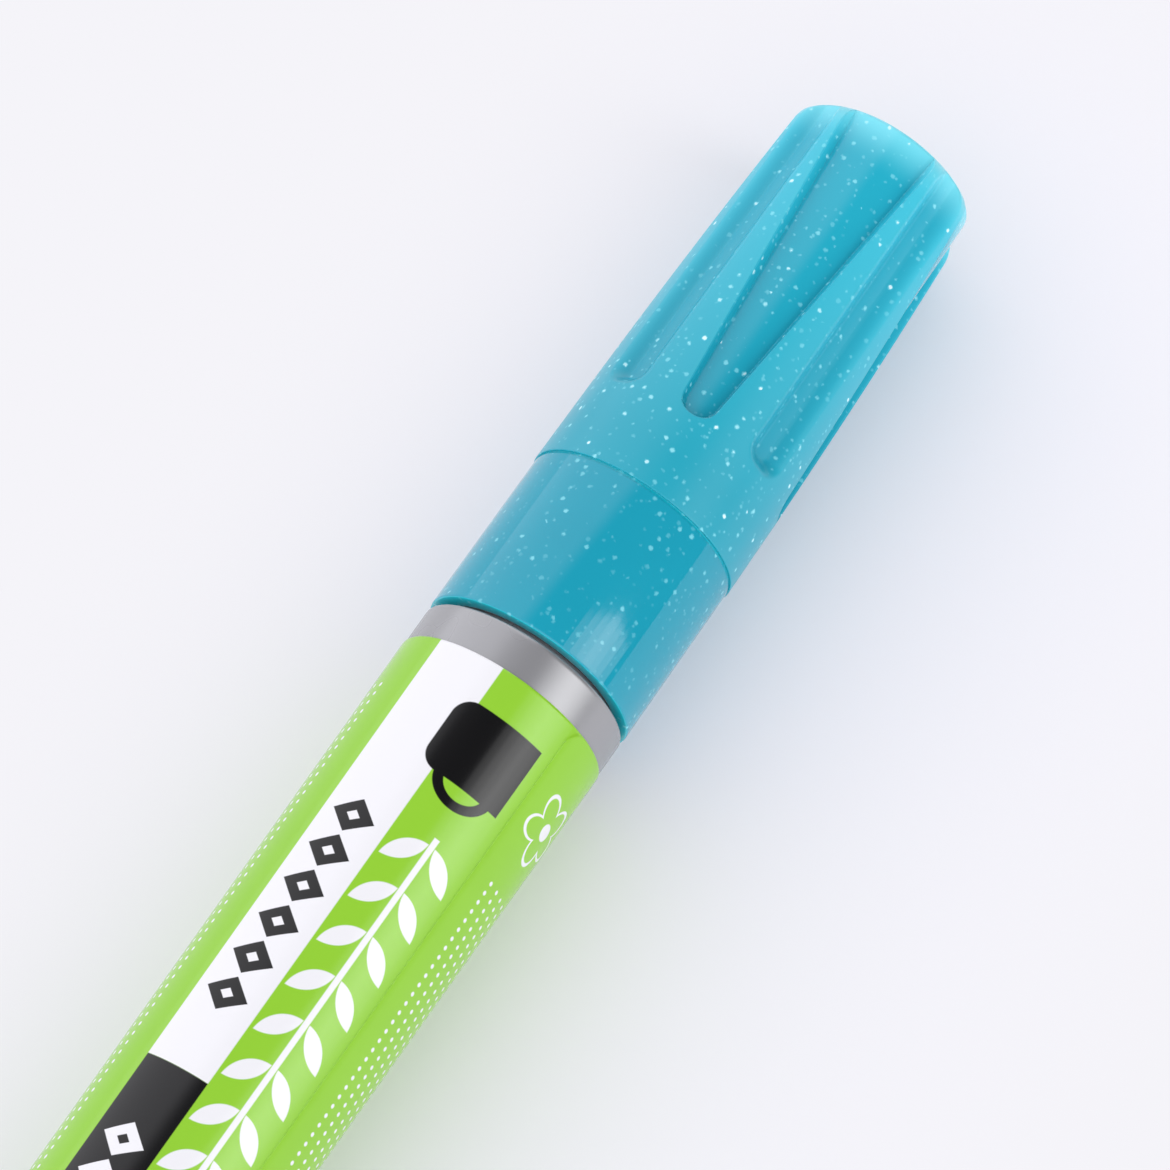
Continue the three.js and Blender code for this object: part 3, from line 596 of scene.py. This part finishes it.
def cap_columns(x):
    """Degrees of each ring's columns from the middle of a wedge through a quarter of the
    cap, to the next wedge's. They crowd onto the wedge's outline, whose walls are steep, and
    spread over the soft walls of the slot at 45 degrees. The second eighth mirrors the first."""
    lean = math.radians(WEDGE_HALF_ANGLE)
    beyond_apex = np.maximum(x - POCKET_START - WEDGE_APEX, 0)
    half_width = (WEDGE_APEX + beyond_apex * math.sin(lean)) / math.cos(lean) - WEDGE_WALL / 2
    wedge_edge = np.degrees(np.arcsin(half_width / ARC_RADIUS))
    slot_rim, slot_foot = (45 - math.degrees(math.asin(width / ARC_RADIUS))
                           for width in (SLOT_HALF_WIDTH, SLOT_HALF_WIDTH - SLOT_WALL))
    rib_end = np.maximum(slot_rim - PAST_RIM, wedge_edge + PAST_WEDGE + PAST_RIB)
    stops = np.stack((0 * x, wedge_edge - PAST_WEDGE, wedge_edge + PAST_WEDGE, rib_end,
                      0 * x + slot_foot + PAST_FOOT, 0 * x + 45))[:, :, None]
    eighth = np.concatenate([low + (high - low) * np.arange(count) / count for low, high, count
                             in zip(stops, stops[1:], COLUMNS_OF_EIGHTH)], 1)
    return np.concatenate((eighth, np.full((x.size, 1), 45.0), 90 - eighth[:, :0:-1]), 1)


def cap_surface(name, material):
    """The cap's profile carried round its axis, four quarters alike. On the body, radius =
    taper - depth x smooth(distance inside / wall), or the radius of the end's rounding where
    that is less. The closed end is dished a little in the middle, where the plastic came in.
    The gloss mark is 1 on a wedge's polished floor, the floor mark on floors of both kinds."""
    x, radius, first = cap_profile()
    quarter = cap_columns(x)
    turn = np.radians(WEDGE_ANGLE + np.concatenate([quarter + 90 * k for k in range(4)], 1))
    offset = np.radians(np.tile(quarter, 4))
    offset = np.minimum(offset, np.pi / 2 - offset)
    ring_x = x[:, None]
    in_wedge = wedge_depth_in(ring_x, ARC_RADIUS * np.sin(offset))
    in_slot = slot_depth_in(ring_x, ARC_RADIUS * np.sin(np.pi / 4 - offset))
    down_wedge, down_slot = smooth(in_wedge / WEDGE_WALL), smooth(in_slot / SLOT_WALL)
    sunk = np.maximum(WEDGE_DEPTH * down_wedge, SLOT_DEPTH * down_slot)
    before_flat = radius > CAP_END_RADIUS - CAP_END_FILLET + 0.01
    carved = ((np.arange(x.size) > first) & before_flat)[:, None]
    grown = np.where(carved, np.minimum(radius[:, None], taper_at(ring_x) - sunk), radius[:, None])
    dimple = GATE_DEPTH * (1 - smooth((radius - GATE_RADIUS) / GATE_WALL)) * (x >= CAP_LENGTH - 1e-6)
    return skin(name, material, ring_x - dimple[:, None], grown, turn,
                gloss=np.where(carved, down_wedge, 0),
                floor=np.where(carved, np.maximum(down_wedge, down_slot), 0))


# Glitter: thin flakes in the melt, seen as round specks where a flake lies at the surface,
# each painted at its own brightness, a painted glint that stands in for the light the flake
# catches, and a haze of smaller and dimmer ones. Cells, flecks and their soft edges are in
# millimetres, and a share is that of the cells with a fleck.
COARSE_FLAKES = {"Cell": 0.80, "Fleck": 0.20, "Share": 0.88, "Edge": 0.10}
FINE_FLAKES = {"Cell": 0.55, "Fleck": 0.14, "Share": 0.72, "Edge": 0.09}
FINE_STRENGTH, SKIRT_STRENGTH = 0.5, 0.65
FRAY_PER_METRE, FRAY = 4200.0, 0.00022
SWARM_PER_METRE, SWARM_RANGE, SWARM_THINNEST, SWARM_THICKEST = 330.0, (0.36, 0.6), 0.45, 1.3
FLAKE_CONTRAST, FLAKE_DIMMEST, GLINT_RANGE = 1.6, 0.25, (0.6, 1.0)

glitter, takes, give = effect("glitter_flakes", COARSE_FLAKES, {"Flakes": "Float"})
do = sums(glitter)
frayed = glitter.nodes.new("ShaderNodeVectorMath")
frayed.operation = "MULTIPLY_ADD"
feed(glitter, frayed, noise(glitter, FRAY_PER_METRE)["Color"], (FRAY,) * 3, object_place(glitter))
cells = added(glitter, "TexVoronoi", frayed.outputs[0], Scale=do("DIVIDE", 1000.0, takes["Cell"]))
lots = added(glitter, "SeparateColor", cells["Color"])
away = do("MULTIPLY", cells["Distance"], takes["Cell"])
disc = do("DIVIDE", do("SUBTRACT", takes["Fleck"], away), takes["Edge"], clamp=True)
swarm = noise(glitter, SWARM_PER_METRE, 1.0)[0]
thick = ramped(glitter, swarm, *SWARM_RANGE, SWARM_THINNEST, SWARM_THICKEST)
chosen = do("LESS_THAN", lots[0], do("MULTIPLY", takes["Share"], thick))
# Painted glint: each flake gets a random brightness, standing in for the light it catches
painted_glint = do("POWER", lots[1], FLAKE_CONTRAST)
painted_glint = do("MULTIPLY_ADD", painted_glint, 1 - FLAKE_DIMMEST, FLAKE_DIMMEST)
give("Flakes", do("MULTIPLY", do("MULTIPLY", disc, chosen), painted_glint))

# The cap's plastic, whose colour carries painted light: it is painted paler toward the closed end
# as glow of light through the thinner plastic there, painted brighter at the mouth's edge and
# in the seam's groove to lift their shade, and painted lighter on the satin ribs as their
# sheen. It is satin on the ribs and polished on the skirt and on the wedges' floors
PALER_FROM, PALER_OVER, SATIN_FROM, SATIN_TO = 15.0, 25.0, SEAM - 0.06, SEAM + 0.02
END_GLOW_FROM, END_GLOW_POWER, RIM_REACH, GROOVE_REACH = 39.4, 1.3, 0.03, SEAM_WIDTH / 2 + 0.01
SATIN_ROUGHNESS, POLISH_ROUGHNESS = 0.28, (0.03, 0.045)

glitter_plastic, tree, shader = finish_of("turquoise_glitter_plastic")
do = sums(tree)
along = placed(tree, marker_place)["Along"]
found = placed(tree, moulded_grain, Grain_per_mm=5.0, Depth=0.002, Strength=0.08)
gloss, floor_share = (tree.nodes.new("ShaderNodeAttribute") for _ in range(2))
gloss.attribute_name, floor_share.attribute_name = "gloss", "floor"
body = ramped(tree, along, SATIN_FROM, SATIN_TO)
# Painted glow: the ribs and floors grow paler toward the closed end, as light through the thinner
# plastic painted into their colour
end_glow_share = do("DIVIDE", do("SUBTRACT", along, PALER_FROM), PALER_OVER, clamp=True)
floor = blended(tree, end_glow_share, TURQUOISE_FLOOR, TURQUOISE_FLOOR_END_GLOW)
# Painted sheen: the ribs take the lighter satin colour, which stands in for the satin finish's sheen,
# while the pocket floors take their own colour
rib = blended(tree, end_glow_share, TURQUOISE_RIB_SHEEN, TURQUOISE_RIB_SHEEN_END_GLOW)
melt = blended(tree, found["Mottle"], TURQUOISE_DEEP, TURQUOISE)
melt = blended(tree, body, melt, blended(tree, floor_share.outputs["Fac"], rib, floor))
# Painted glow: the last four millimetres of the cap blend to a paler colour, as light glowing through
# the plastic painted in
end_glow = do("POWER", ramped(tree, along, END_GLOW_FROM, CAP_LENGTH), END_GLOW_POWER)
melt = blended(tree, end_glow, melt, TURQUOISE_END_GLOW)
# Painted light: the mouth's edge, in the collar's shade, is painted brighter as light glowing through
# the plastic
melt = blended(tree, do("LESS_THAN", do("ABSOLUTE", along), RIM_REACH), melt, TURQUOISE_RIM_GLOW)
# Painted light: the seam's groove is painted lighter, lifting the shade that falls in it
from_groove = do("ABSOLUTE", do("SUBTRACT", along, SEAM - SEAM_WIDTH / 2))
melt = blended(tree, do("LESS_THAN", from_groove, GROOVE_REACH), melt, TURQUOISE_GROOVE_PAINTED_LIGHT)
coarse = placed(tree, glitter, **COARSE_FLAKES)["Flakes"]
fine = placed(tree, glitter, **FINE_FLAKES)["Flakes"]
flakes = do("MINIMUM", do("ADD", coarse, do("MULTIPLY", fine, FINE_STRENGTH)), 1.0)
flakes = do("MULTIPLY", flakes, do("MULTIPLY_ADD", body, 1 - SKIRT_STRENGTH, SKIRT_STRENGTH))
# Painted glint: the brightest flakes blend toward a near-white colour
painted_glint_colour = blended(tree, ramped(tree, flakes, *GLINT_RANGE), FLECK, FLECK_GLINT)
satin = do("MULTIPLY", body, do("SUBTRACT", 1.0, gloss.outputs["Fac"]))
polish = ramped(tree, found["Mottle"], *MOTTLE_RANGE, *POLISH_ROUGHNESS)
feed(tree, shader, Base_Color=blended(tree, flakes, melt, painted_glint_colour), Normal=found["Normal"],
     Roughness=do("MULTIPLY_ADD", satin, SATIN_ROUGHNESS, polish))

cap = cap_surface("cap_moulding", glitter_plastic)
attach(cap, "cap")
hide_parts("cap_shell")

# Cap liner: the natural polypropylene inner cap, pushed to the cap's end, whose soft ring
# grips the nose so that the nib stays wet.
LINER_BORE, LINER_OUTER, LINER_FLANGE, LINER_FLANGE_LENGTH, LINER_END = 3.95, 4.95, 5.77, 7.5, 1.4
LINER_FILLET, LINER_EDGE, LINER_MOUTH_EDGE = 0.5, 0.2, 0.1
SEAL_WIDTH, SEAL_RADIUS, SEAL_ROOT, SEAL_ROUNDING = 0.9, 3.66, 0.4, 0.35

rear, front = span("cap_liner")
liner = turned("seal_cup", natural_plastic, [
    (front - LINER_END, 0), (front - LINER_END, LINER_BORE, LINER_FILLET),
    (rear + 2 * SEAL_WIDTH, LINER_BORE, SEAL_ROOT), (rear + SEAL_WIDTH, SEAL_RADIUS, SEAL_ROUNDING),
    (rear, LINER_BORE, LINER_MOUTH_EDGE), (rear, LINER_OUTER, LINER_EDGE),
    (front - LINER_FLANGE_LENGTH, LINER_OUTER, LINER_EDGE),
    (front - LINER_FLANGE_LENGTH, LINER_FLANGE, LINER_EDGE),
    (front, LINER_FLANGE, LINER_EDGE), (front, 0)])
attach(liner, "cap")
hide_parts("cap_liner")

# Rear plug: a turquoise stopper of the cap's plastic, pushed into the barrel once the paint
# is in. Its end is dished a little round the mark of the moulding gate.
PLUG_SPIGOT_WALL, PLUG_END_WALL, PLUG_FILLET, PLUG_LEAD_IN = 1.1, 1.6, 0.3, 0.35
PLUG_EDGE, PLUG_MOUTH_EDGE, PLUG_ROOT, PLUG_SEAM_EDGE = 0.7, 0.15, 0.05, 0.08
DISH_RIM, DISH_SIDE, DISH_DEPTH = 1.6, 0.5, 0.25
GATE_MARK, GATE_MARK_SIDE, GATE_MARK_HEIGHT, GATE_MARK_ROOT, GATE_MARK_EDGE = 0.6, 0.15, 0.15, 0.1, 0.08

rear, front = span("rear_plug")
flange_front = span("barrel")[0] - SEAT_SLACK
spigot = rear_radius - BARREL_WALL - SEAT_SLACK
dish, gate_mark = rear + DISH_DEPTH, rear + DISH_DEPTH - GATE_MARK_HEIGHT
plug = turned("rear_stopper", glitter_plastic, [
    (rear + PLUG_END_WALL, 0), (rear + PLUG_END_WALL, spigot - PLUG_SPIGOT_WALL, PLUG_FILLET),
    (front, spigot - PLUG_SPIGOT_WALL, PLUG_MOUTH_EDGE), (front, spigot, PLUG_LEAD_IN),
    (flange_front, spigot, PLUG_ROOT), (flange_front, rear_radius, PLUG_SEAM_EDGE),
    (rear, rear_radius, PLUG_EDGE), (rear, rear_radius - DISH_RIM, PLUG_FILLET),
    (dish, rear_radius - DISH_RIM - DISH_SIDE, PLUG_FILLET),
    (dish, GATE_MARK + GATE_MARK_SIDE, GATE_MARK_ROOT), (gate_mark, GATE_MARK, GATE_MARK_EDGE),
    (gate_mark, 0)], columns=WIDE_COLUMNS)
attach(plug, "barrel")
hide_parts("rear_plug")

# Label: a polypropylene film printed in white and black on green, wrapped once round the
# barrel and glued down on itself, so that one straight edge with a rounded corner stands
# proud. All its marks are plain ornament: a cup, leaves, diamonds and dots.
LABEL_FRONT, LABEL_REAR_MARGIN, FILM_GAP, FILM, FILM_EDGE = -3.27, 3.5, 0.02, 0.08, 0.02
OVERLAP_ANGLE, OVERLAP_CORNER, OVERLAP_LIFT, OVERLAP_LENGTH = 35.5, 1.3, 0.07, 7.0
OVERLAP_STEP = 0.05
LEAF_GREEN, LEAF_GREEN_DEEP = (0.305, 0.640, 0.042), (0.280, 0.605, 0.036)
PRINT_WHITE, PRINT_BLACK = (0.87, 0.87, 0.89), (0.0055, 0.0055, 0.006)
# Where the film's rings and columns lie: dense over the overlap's corner and across its edge
FILM_RINGS_NEAR, FILM_RINGS_FAR = (0.02, 2.2, 30), (3, 0.3, 34)
FILM_COLUMNS_AT, FILM_COLUMNS_NEAR, FILM_COLUMNS_FAR = (-0.3, 0.3, 7), (0.9, 12, 16), (14, 359.1, 150)


def film_surface(name, material):
    """Ring of film on the drafted barrel: inner and outer radius follow the draft, and the
    outer one is lifted where the film lies on itself, past an edge line with one rounded
    corner, and settles again over the overlap's length."""
    rear = span("barrel")[0] + LABEL_REAR_MARGIN
    beyond, short, count = FILM_RINGS_FAR
    x = np.concatenate((LABEL_FRONT - np.linspace(*FILM_RINGS_NEAR),
                        np.linspace(LABEL_FRONT - beyond, rear + short, count), [rear + FILM_EDGE]))
    turn = OVERLAP_ANGLE + np.concatenate((
        np.linspace(*FILM_COLUMNS_AT), np.geomspace(*FILM_COLUMNS_NEAR),
        np.linspace(*FILM_COLUMNS_FAR)))[None]
    arc = np.radians(turn - OVERLAP_ANGLE) * ARC_RADIUS
    arc = np.where(arc > math.pi * ARC_RADIUS, arc - 2 * math.pi * ARC_RADIUS, arc)
    from_side, from_front = OVERLAP_CORNER - arc, OVERLAP_CORNER - LABEL_FRONT + x[:, None]
    outside = np.hypot(np.maximum(from_side, 0), np.maximum(from_front, 0))
    past = OVERLAP_CORNER - outside - np.minimum(np.maximum(from_side, from_front), 0)
    lift = OVERLAP_LIFT * smooth(past / OVERLAP_STEP + 0.5) * (1 - smooth(arc / OVERLAP_LENGTH))
    inner = (BARREL_FRONT_RADIUS + (x - span("barrel")[1]) * slope + FILM_GAP)[:, None] + 0 * turn
    outer = inner + FILM + lift
    outer[[0, -1]] -= FILM_EDGE
    middle = inner[[0, -1]] + FILM / 2
    along = np.concatenate((x[:1] + FILM_EDGE, x, x[-1:] - FILM_EDGE, x[::-1]))
    radius = np.concatenate((middle[:1], outer, middle[1:], inner[::-1]))
    return skin(name, material, along[:, None], radius, np.radians(turn) + TOP_LINE)


# Marks are placed in millimetres behind the cap's mouth and sideways from the top line, and
# each one is drawn from the distance outside its edge.
INK_SOFT = 0.035
STRIPE_LEFT, STRIPE_RIGHT, STRIPE_BLACK_FROM, STRIPE_END = -6.24, -1.37, 35.6, 80
DIAMONDS_WHITE, DIAMONDS_BLACK = (39.75, 75.5), (15.0, 31.5)
DIAMOND_START, DIAMOND_PITCH, DIAMOND_LINE, DIAMOND_SQUASH = 15.0, 2.75, -3.85, 1.3
DIAMOND_SIZE, DIAMOND_HOLE = 1.6, 0.5
CUP_TOP, CUP_BOTTOM, CUP_LEFT, CUP_RIGHT, CUP_CORNER, CUP_CUT = 6.1, 11.3, -2.47, 9.0, 1.3, 3.77
HANDLE_DOWN, HANDLE_SIDE, HANDLE_RADIUS, HANDLE_HALF_WIDTH = 12.5, 0.9, 1.85, 0.36
HANDLE_SQUASH, HANDLE_FROM = 1.15, 11.2
SPRAY_START, SPRAY_END, SPRAY_LEFT, SPRAY_RIGHT = 14.8, 55.6, -2.0, 4.9
STALK_LINE, STALK_HALF_WIDTH, LEAF_PITCH, LEAF_RADIUS = 1.45, 0.2, 3.4, 2.35
LEAF_UPPER, LEAF_LOWER = (2.95, 0.20), (0.45, 2.60)
FLOWER_DOWN, FLOWER_SIDE, FLOWER_HEART, FLOWER_HALF_LINE = 9.2, 8.2, 0.6, 0.14
PETAL_TURNS, PETAL_RISE, PETAL_ROOT = 2.5, 1.1, 1.35
DOTS_START, DOTS_LEFT, DOT_PITCH_DOWN, DOT_PITCH_SIDE = 14.0, 6.0, 0.72, 1.05
DOT_DOWN, DOT_SIDE, DOT_RADIUS = 0.36, 0.52, 0.15
DOT_ROWS = ((14.0, 58.64, 6.0, 12.3), (6.8, 58.64, -11.85, -8.7))
RING_COUNT, RING_RADIUS, RING_HALF_LINE, RING_MARGIN = 16, 0.95, 0.16, 2.6
RING_BAND, RING_BAND_HALF_WIDTH = (4.4, 0.6), 30

printed_film, tree, shader = finish_of("printed_label_film", Roughness=0.16)
do = sums(tree)
where = placed(tree, marker_place)
down = do("MULTIPLY", where["Along"], -1.0)
side = do("MULTIPLY", where["Turn"], ARC_RADIUS * math.pi / 180)


def printed(ink, distance, colour):
    """The colours so far with this mark printed over them."""
    mark = do("MULTIPLY_ADD", distance, -0.5 / INK_SOFT, 0.5, clamp=True)
    return blended(tree, mark, ink, colour)


def hypotenuse(do, first, second):
    """Length of the long side over two legs."""
    return do("SQRT", do("ADD", do("MULTIPLY", first, first), do("MULTIPLY", second, second)))


def plate(low, high, left, right, corner=0.01):
    """Distance outside a rounded plate between two lengths and two sides of the label."""
    past = [do("SUBTRACT", do("ABSOLUTE", do("SUBTRACT", place, (start + end) / 2)),
               (end - start) / 2 - corner)
            for place, start, end in ((down, low, high), (side, left, right))]
    outside = hypotenuse(do, *(do("MAXIMUM", distance, 0.0) for distance in past))
    within = do("MINIMUM", do("MAXIMUM", *past), 0.0)
    return do("SUBTRACT", do("ADD", outside, within), corner)


def reach(across_down, across_side, centre_down, centre_side):
    """Length of the arm from a centre to the point in folded label coordinates."""
    return hypotenuse(do, do("SUBTRACT", across_down, centre_down),
                      do("SUBTRACT", across_side, centre_side))


def line_round(distance, half_line):
    """Distance outside a line that is drawn along an edge."""
    return do("SUBTRACT", do("ABSOLUTE", distance), half_line)


def repeated(value, start, pitch):
    """Place within one repeat of a pattern, from 0 to the pitch."""
    return do("FLOORED_MODULO", do("SUBTRACT", value, start), pitch)


found = placed(tree, moulded_grain, Grain_per_mm=1.2, Depth=0.006, Strength=0.12)
ink = blended(tree, found["Mottle"], LEAF_GREEN_DEEP, LEAF_GREEN)

# The white stripe that turns black, with its hollow diamonds
stripe = (STRIPE_LEFT, STRIPE_RIGHT)
ink = printed(ink, plate(0, STRIPE_BLACK_FROM, *stripe), PRINT_WHITE)
ink = printed(ink, plate(STRIPE_BLACK_FROM, STRIPE_END, *stripe), PRINT_BLACK)
in_diamond = do("SUBTRACT", repeated(down, DIAMOND_START, DIAMOND_PITCH), DIAMOND_PITCH / 2)
from_centre = do("ADD", do("MULTIPLY", do("ABSOLUTE", in_diamond), DIAMOND_SQUASH),
                 do("ABSOLUTE", do("SUBTRACT", side, DIAMOND_LINE)))
diamond = do("MAXIMUM", do("SUBTRACT", from_centre, DIAMOND_SIZE),
             do("SUBTRACT", DIAMOND_HOLE, from_centre))
for reached, colour in ((DIAMONDS_BLACK, PRINT_BLACK), (DIAMONDS_WHITE, PRINT_WHITE)):
    ink = printed(ink, do("MAXIMUM", diamond, plate(*reached, *stripe)), colour)

# The cup, cut off straight at its right side, and its handle
cup = plate(CUP_TOP, CUP_BOTTOM, CUP_LEFT, CUP_RIGHT, CUP_CORNER)
cup = do("MAXIMUM", cup, do("SUBTRACT", side, CUP_CUT))
ink = printed(ink, cup, PRINT_BLACK)
handle = reach(do("MULTIPLY", down, HANDLE_SQUASH), side, HANDLE_DOWN, HANDLE_SIDE)
handle = line_round(do("SUBTRACT", handle, HANDLE_RADIUS), HANDLE_HALF_WIDTH)
ink = printed(ink, do("MAXIMUM", handle, do("SUBTRACT", HANDLE_FROM, down)), PRINT_BLACK)

# The white spray of leaves on the green, in pairs on one stalk
stalk = do("ABSOLUTE", do("SUBTRACT", side, STALK_LINE))
step = repeated(down, SPRAY_START, LEAF_PITCH)
leaf = do("MAXIMUM", reach(step, stalk, *LEAF_UPPER), reach(step, stalk, *LEAF_LOWER))
leaf = do("MINIMUM", do("SUBTRACT", leaf, LEAF_RADIUS), do("SUBTRACT", stalk, STALK_HALF_WIDTH))
spray = do("MAXIMUM", leaf, plate(SPRAY_START, SPRAY_END, SPRAY_LEFT, SPRAY_RIGHT))
ink = printed(ink, spray, PRINT_WHITE)

# The small flower and the rows of fine dots at both sides
petal_turn = do("ARCTAN2", do("SUBTRACT", side, FLOWER_SIDE), do("SUBTRACT", down, FLOWER_DOWN))
petals = do("ABSOLUTE", do("COSINE", do("MULTIPLY", petal_turn, PETAL_TURNS)))
petals = do("MULTIPLY_ADD", petals, PETAL_RISE, PETAL_ROOT)
from_flower = reach(down, side, FLOWER_DOWN, FLOWER_SIDE)
ink = printed(ink, line_round(do("SUBTRACT", from_flower, petals), FLOWER_HALF_LINE), PRINT_WHITE)
ink = printed(ink, do("SUBTRACT", from_flower, FLOWER_HEART), PRINT_WHITE)
dots = reach(repeated(down, DOTS_START, DOT_PITCH_DOWN), repeated(side, DOTS_LEFT, DOT_PITCH_SIDE),
             DOT_DOWN, DOT_SIDE)
dots = do("SUBTRACT", dots, DOT_RADIUS)
for rows in DOT_ROWS:
    ink = printed(ink, do("MAXIMUM", dots, plate(*rows)), PRINT_WHITE)

# The band of rings round the label's rear
label_end = -(span("barrel")[0] + LABEL_REAR_MARGIN)
ring_pitch = 2 * math.pi * ARC_RADIUS / RING_COUNT
ring = reach(down, repeated(side, 0.0, ring_pitch), label_end - RING_MARGIN, ring_pitch / 2)
ring = line_round(do("SUBTRACT", ring, RING_RADIUS), RING_HALF_LINE)
band = plate(*(label_end - margin for margin in RING_BAND), -RING_BAND_HALF_WIDTH, RING_BAND_HALF_WIDTH)
ink = printed(ink, do("MAXIMUM", ring, band), PRINT_WHITE)
feed(tree, shader, Base_Color=ink, Normal=found["Normal"])

label = film_surface("label_film", printed_film)
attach(label, "barrel")
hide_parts("barrel_label")

# Table: a sheet of milky board that keeps the marker's soft shadow. The camera and
# reflections see it mixed with a plain white glow, painted light that lightens the shadow:
# its share is small next to the marker and grows to all of it away from it, sooner on the
# marker's left, so that the board melts into the white of the surroundings.
TABLE_HALF, TABLE_PAST_END, TABLE_GLOW_NEAR = 2.0, 0.005, 0.15
TABLE_FADE_START, TABLE_FADE_END, TABLE_FADE_SHIFT = 0.004, 0.042, 0.008
BOARD_WHITE, SURROUND_WHITE = (0.86, 0.855, 0.895), (0.913, 0.905, 0.947)

sheet = np.array([(-1, -1, 0), (1, -1, 0), (1, 1, 0), (-1, 1, 0)], float) * TABLE_HALF
board = bpy.data.meshes.new("table_board")
board.from_pydata(sheet, [], [(0, 1, 2, 3)])
table = shown("table_board", board)
board_white, tree, shader = finish_of("matt_board", Roughness=0.9, Specular_IOR_Level=0.1)
do = sums(tree)
paper = bumped(tree, noise(tree, 900.0, 3.0)[0], 0.06, 0.0002)
feed(tree, shader, Normal=paper, Base_Color=(*BOARD_WHITE, 1))
spot = added(tree, "SeparateXYZ", object_place(tree))
beyond_end = do("SUBTRACT", do("ABSOLUTE", spot[0]), cad_box[1].x - TABLE_PAST_END)
aside = do("ADD", spot[1], TABLE_FADE_SHIFT)
from_marker = hypotenuse(do, do("MAXIMUM", beyond_end, 0.0), aside)
glow = added(tree, "Emission", (*SURROUND_WHITE, 1))[0]
rays = added(tree, "LightPath")
seen = do("MAXIMUM", rays["Is Glossy Ray"], rays["Is Transmission Ray"])
seen = do("MAXIMUM", rays["Is Camera Ray"], seen)
# Painted light: the glow's share, small beside the marker and whole away from it, lightens the marker's
# shadow
painted_glow_share = ramped(tree, from_marker, TABLE_FADE_START, TABLE_FADE_END, TABLE_GLOW_NEAR, 1.0)
painted_glow_share = do("MULTIPLY", seen, painted_glow_share)
mixed = added(tree, "MixShader", painted_glow_share, shader.outputs[0], glow)[0]
feed(tree, tree.nodes["Material Output"], Surface=mixed)
board.materials.append(board_white)

# Studio: a white tent, brighter at its walls than overhead, with a dark opening on the
# marker's right toward the cap's end, and one soft box hung over that side. Its curved front
# is seven strips side by side, brighter toward the middle. The camera sees white all round.
TENT_TOP, TENT_SIDE, TENT_REAR, OPENING_DARK = 1.06, 1.7, 1.5, 0.07
REAR_BEARINGS, REAR_REACH = (70.0, 110.0), (-0.3, 0.1)
OPENING_BEARINGS, OPENING_EDGE_REACH = (70.0, 90.0), (0.32, 0.40)
OPENING_SOFT, OPENING_REACH = 9.0, (0.0, 0.22)
BOX_ANGLE, BOX_STRIP_ANGLE, BOX_DISTANCE = 144.8, 8.0, 0.40
BOX_LENGTH, BOX_END, BOX_ROUNDING = 0.14, 0.1752, 0.0007
BOX_RADIANCES = (1.1, 2.3, 3.2, 3.9, 3.4, 2.7, 1.5)

studio = bpy.data.worlds.new("white_tent")
bpy.context.scene.world = studio
studio.use_nodes = True
tree = studio.node_tree
do = sums(tree)
forward, left, upward = added(tree, "SeparateXYZ", added(tree, "TexCoord")["Generated"])
bearing = do("DEGREES", do("ARCTAN2", upward, left))
walls = do("MULTIPLY_ADD", upward, TENT_TOP - TENT_SIDE, TENT_SIDE)
rear_right = do("MULTIPLY", ramped(tree, bearing, *REAR_BEARINGS),
                ramped(tree, forward, *REAR_REACH, 1.0, 0.0))
tent = do("ADD", do("MULTIPLY", rear_right, do("SUBTRACT", TENT_REAR, walls)), walls)
edge = ramped(tree, forward, *OPENING_EDGE_REACH, *OPENING_BEARINGS)
opening = do("MULTIPLY", ramped(tree, do("SUBTRACT", bearing, edge), -OPENING_SOFT, OPENING_SOFT),
             ramped(tree, forward, *OPENING_REACH))
tent = do("MULTIPLY_ADD", opening, do("SUBTRACT", OPENING_DARK, tent), tent)
seen = added(tree, "LightPath")["Is Camera Ray"]
strength = do("ADD", do("MULTIPLY", tent, do("SUBTRACT", 1.0, seen)), seen)
feed(tree, tree.nodes["Background"], (*SURROUND_WHITE, 1), strength)


def aimed(piece, place, *axes):
    """Puts a lamp or a camera at a place, with its own three axes in these directions."""
    piece.matrix_world = Matrix.Translation(place) @ Matrix(axes).transposed().to_4x4()


width = 2 * BOX_DISTANCE * math.tan(math.radians(BOX_STRIP_ANGLE / 2))
for i, radiance in enumerate(BOX_RADIANCES):
    from_middle = i - len(BOX_RADIANCES) // 2
    soft_box = bpy.data.lights.new(f"soft_box_{i + 1}", "AREA")
    soft_box.shape = "RECTANGLE"
    soft_box.size, soft_box.size_y = BOX_LENGTH, width
    soft_box.energy = radiance * math.pi * BOX_LENGTH * width
    lamp = shown(soft_box.name, soft_box)
    hung = math.radians(BOX_ANGLE + from_middle * BOX_STRIP_ANGLE)
    outward = Vector((0, math.cos(hung), math.sin(hung)))
    sunward = Vector((0, -math.sin(hung), math.cos(hung)))
    end = BOX_END - BOX_ROUNDING * abs(from_middle)
    middle = Vector((end - BOX_LENGTH / 2, 0, axis_height / 1000))
    aimed(lamp, middle + outward * BOX_DISTANCE, (1, 0, 0), sunward, outward)

# Camera: a long lens looking down on the cap's mouth from behind and to the right, at the
# photograph's angle and distance.
CAMERA_PLACE = (-0.08833, -0.07883, 0.32869)
CAMERA_AZIMUTH, CAMERA_ELEVATION, CAMERA_LENS = -57.045, 65.642, 169.61

camera = shown("camera", bpy.data.cameras.new("camera"))
round_to, rise = math.radians(CAMERA_AZIMUTH), math.radians(CAMERA_ELEVATION)
backward = Vector((math.sin(round_to) * math.cos(rise), -math.cos(round_to) * math.cos(rise),
                   math.sin(rise)))
rightward = Vector((math.cos(round_to), math.sin(round_to), 0))
aimed(camera, CAMERA_PLACE, rightward, backward.cross(rightward), backward)
camera.data.lens = CAMERA_LENS
bpy.context.scene.camera = camera
bpy.context.scene.view_settings.view_transform = "Standard"
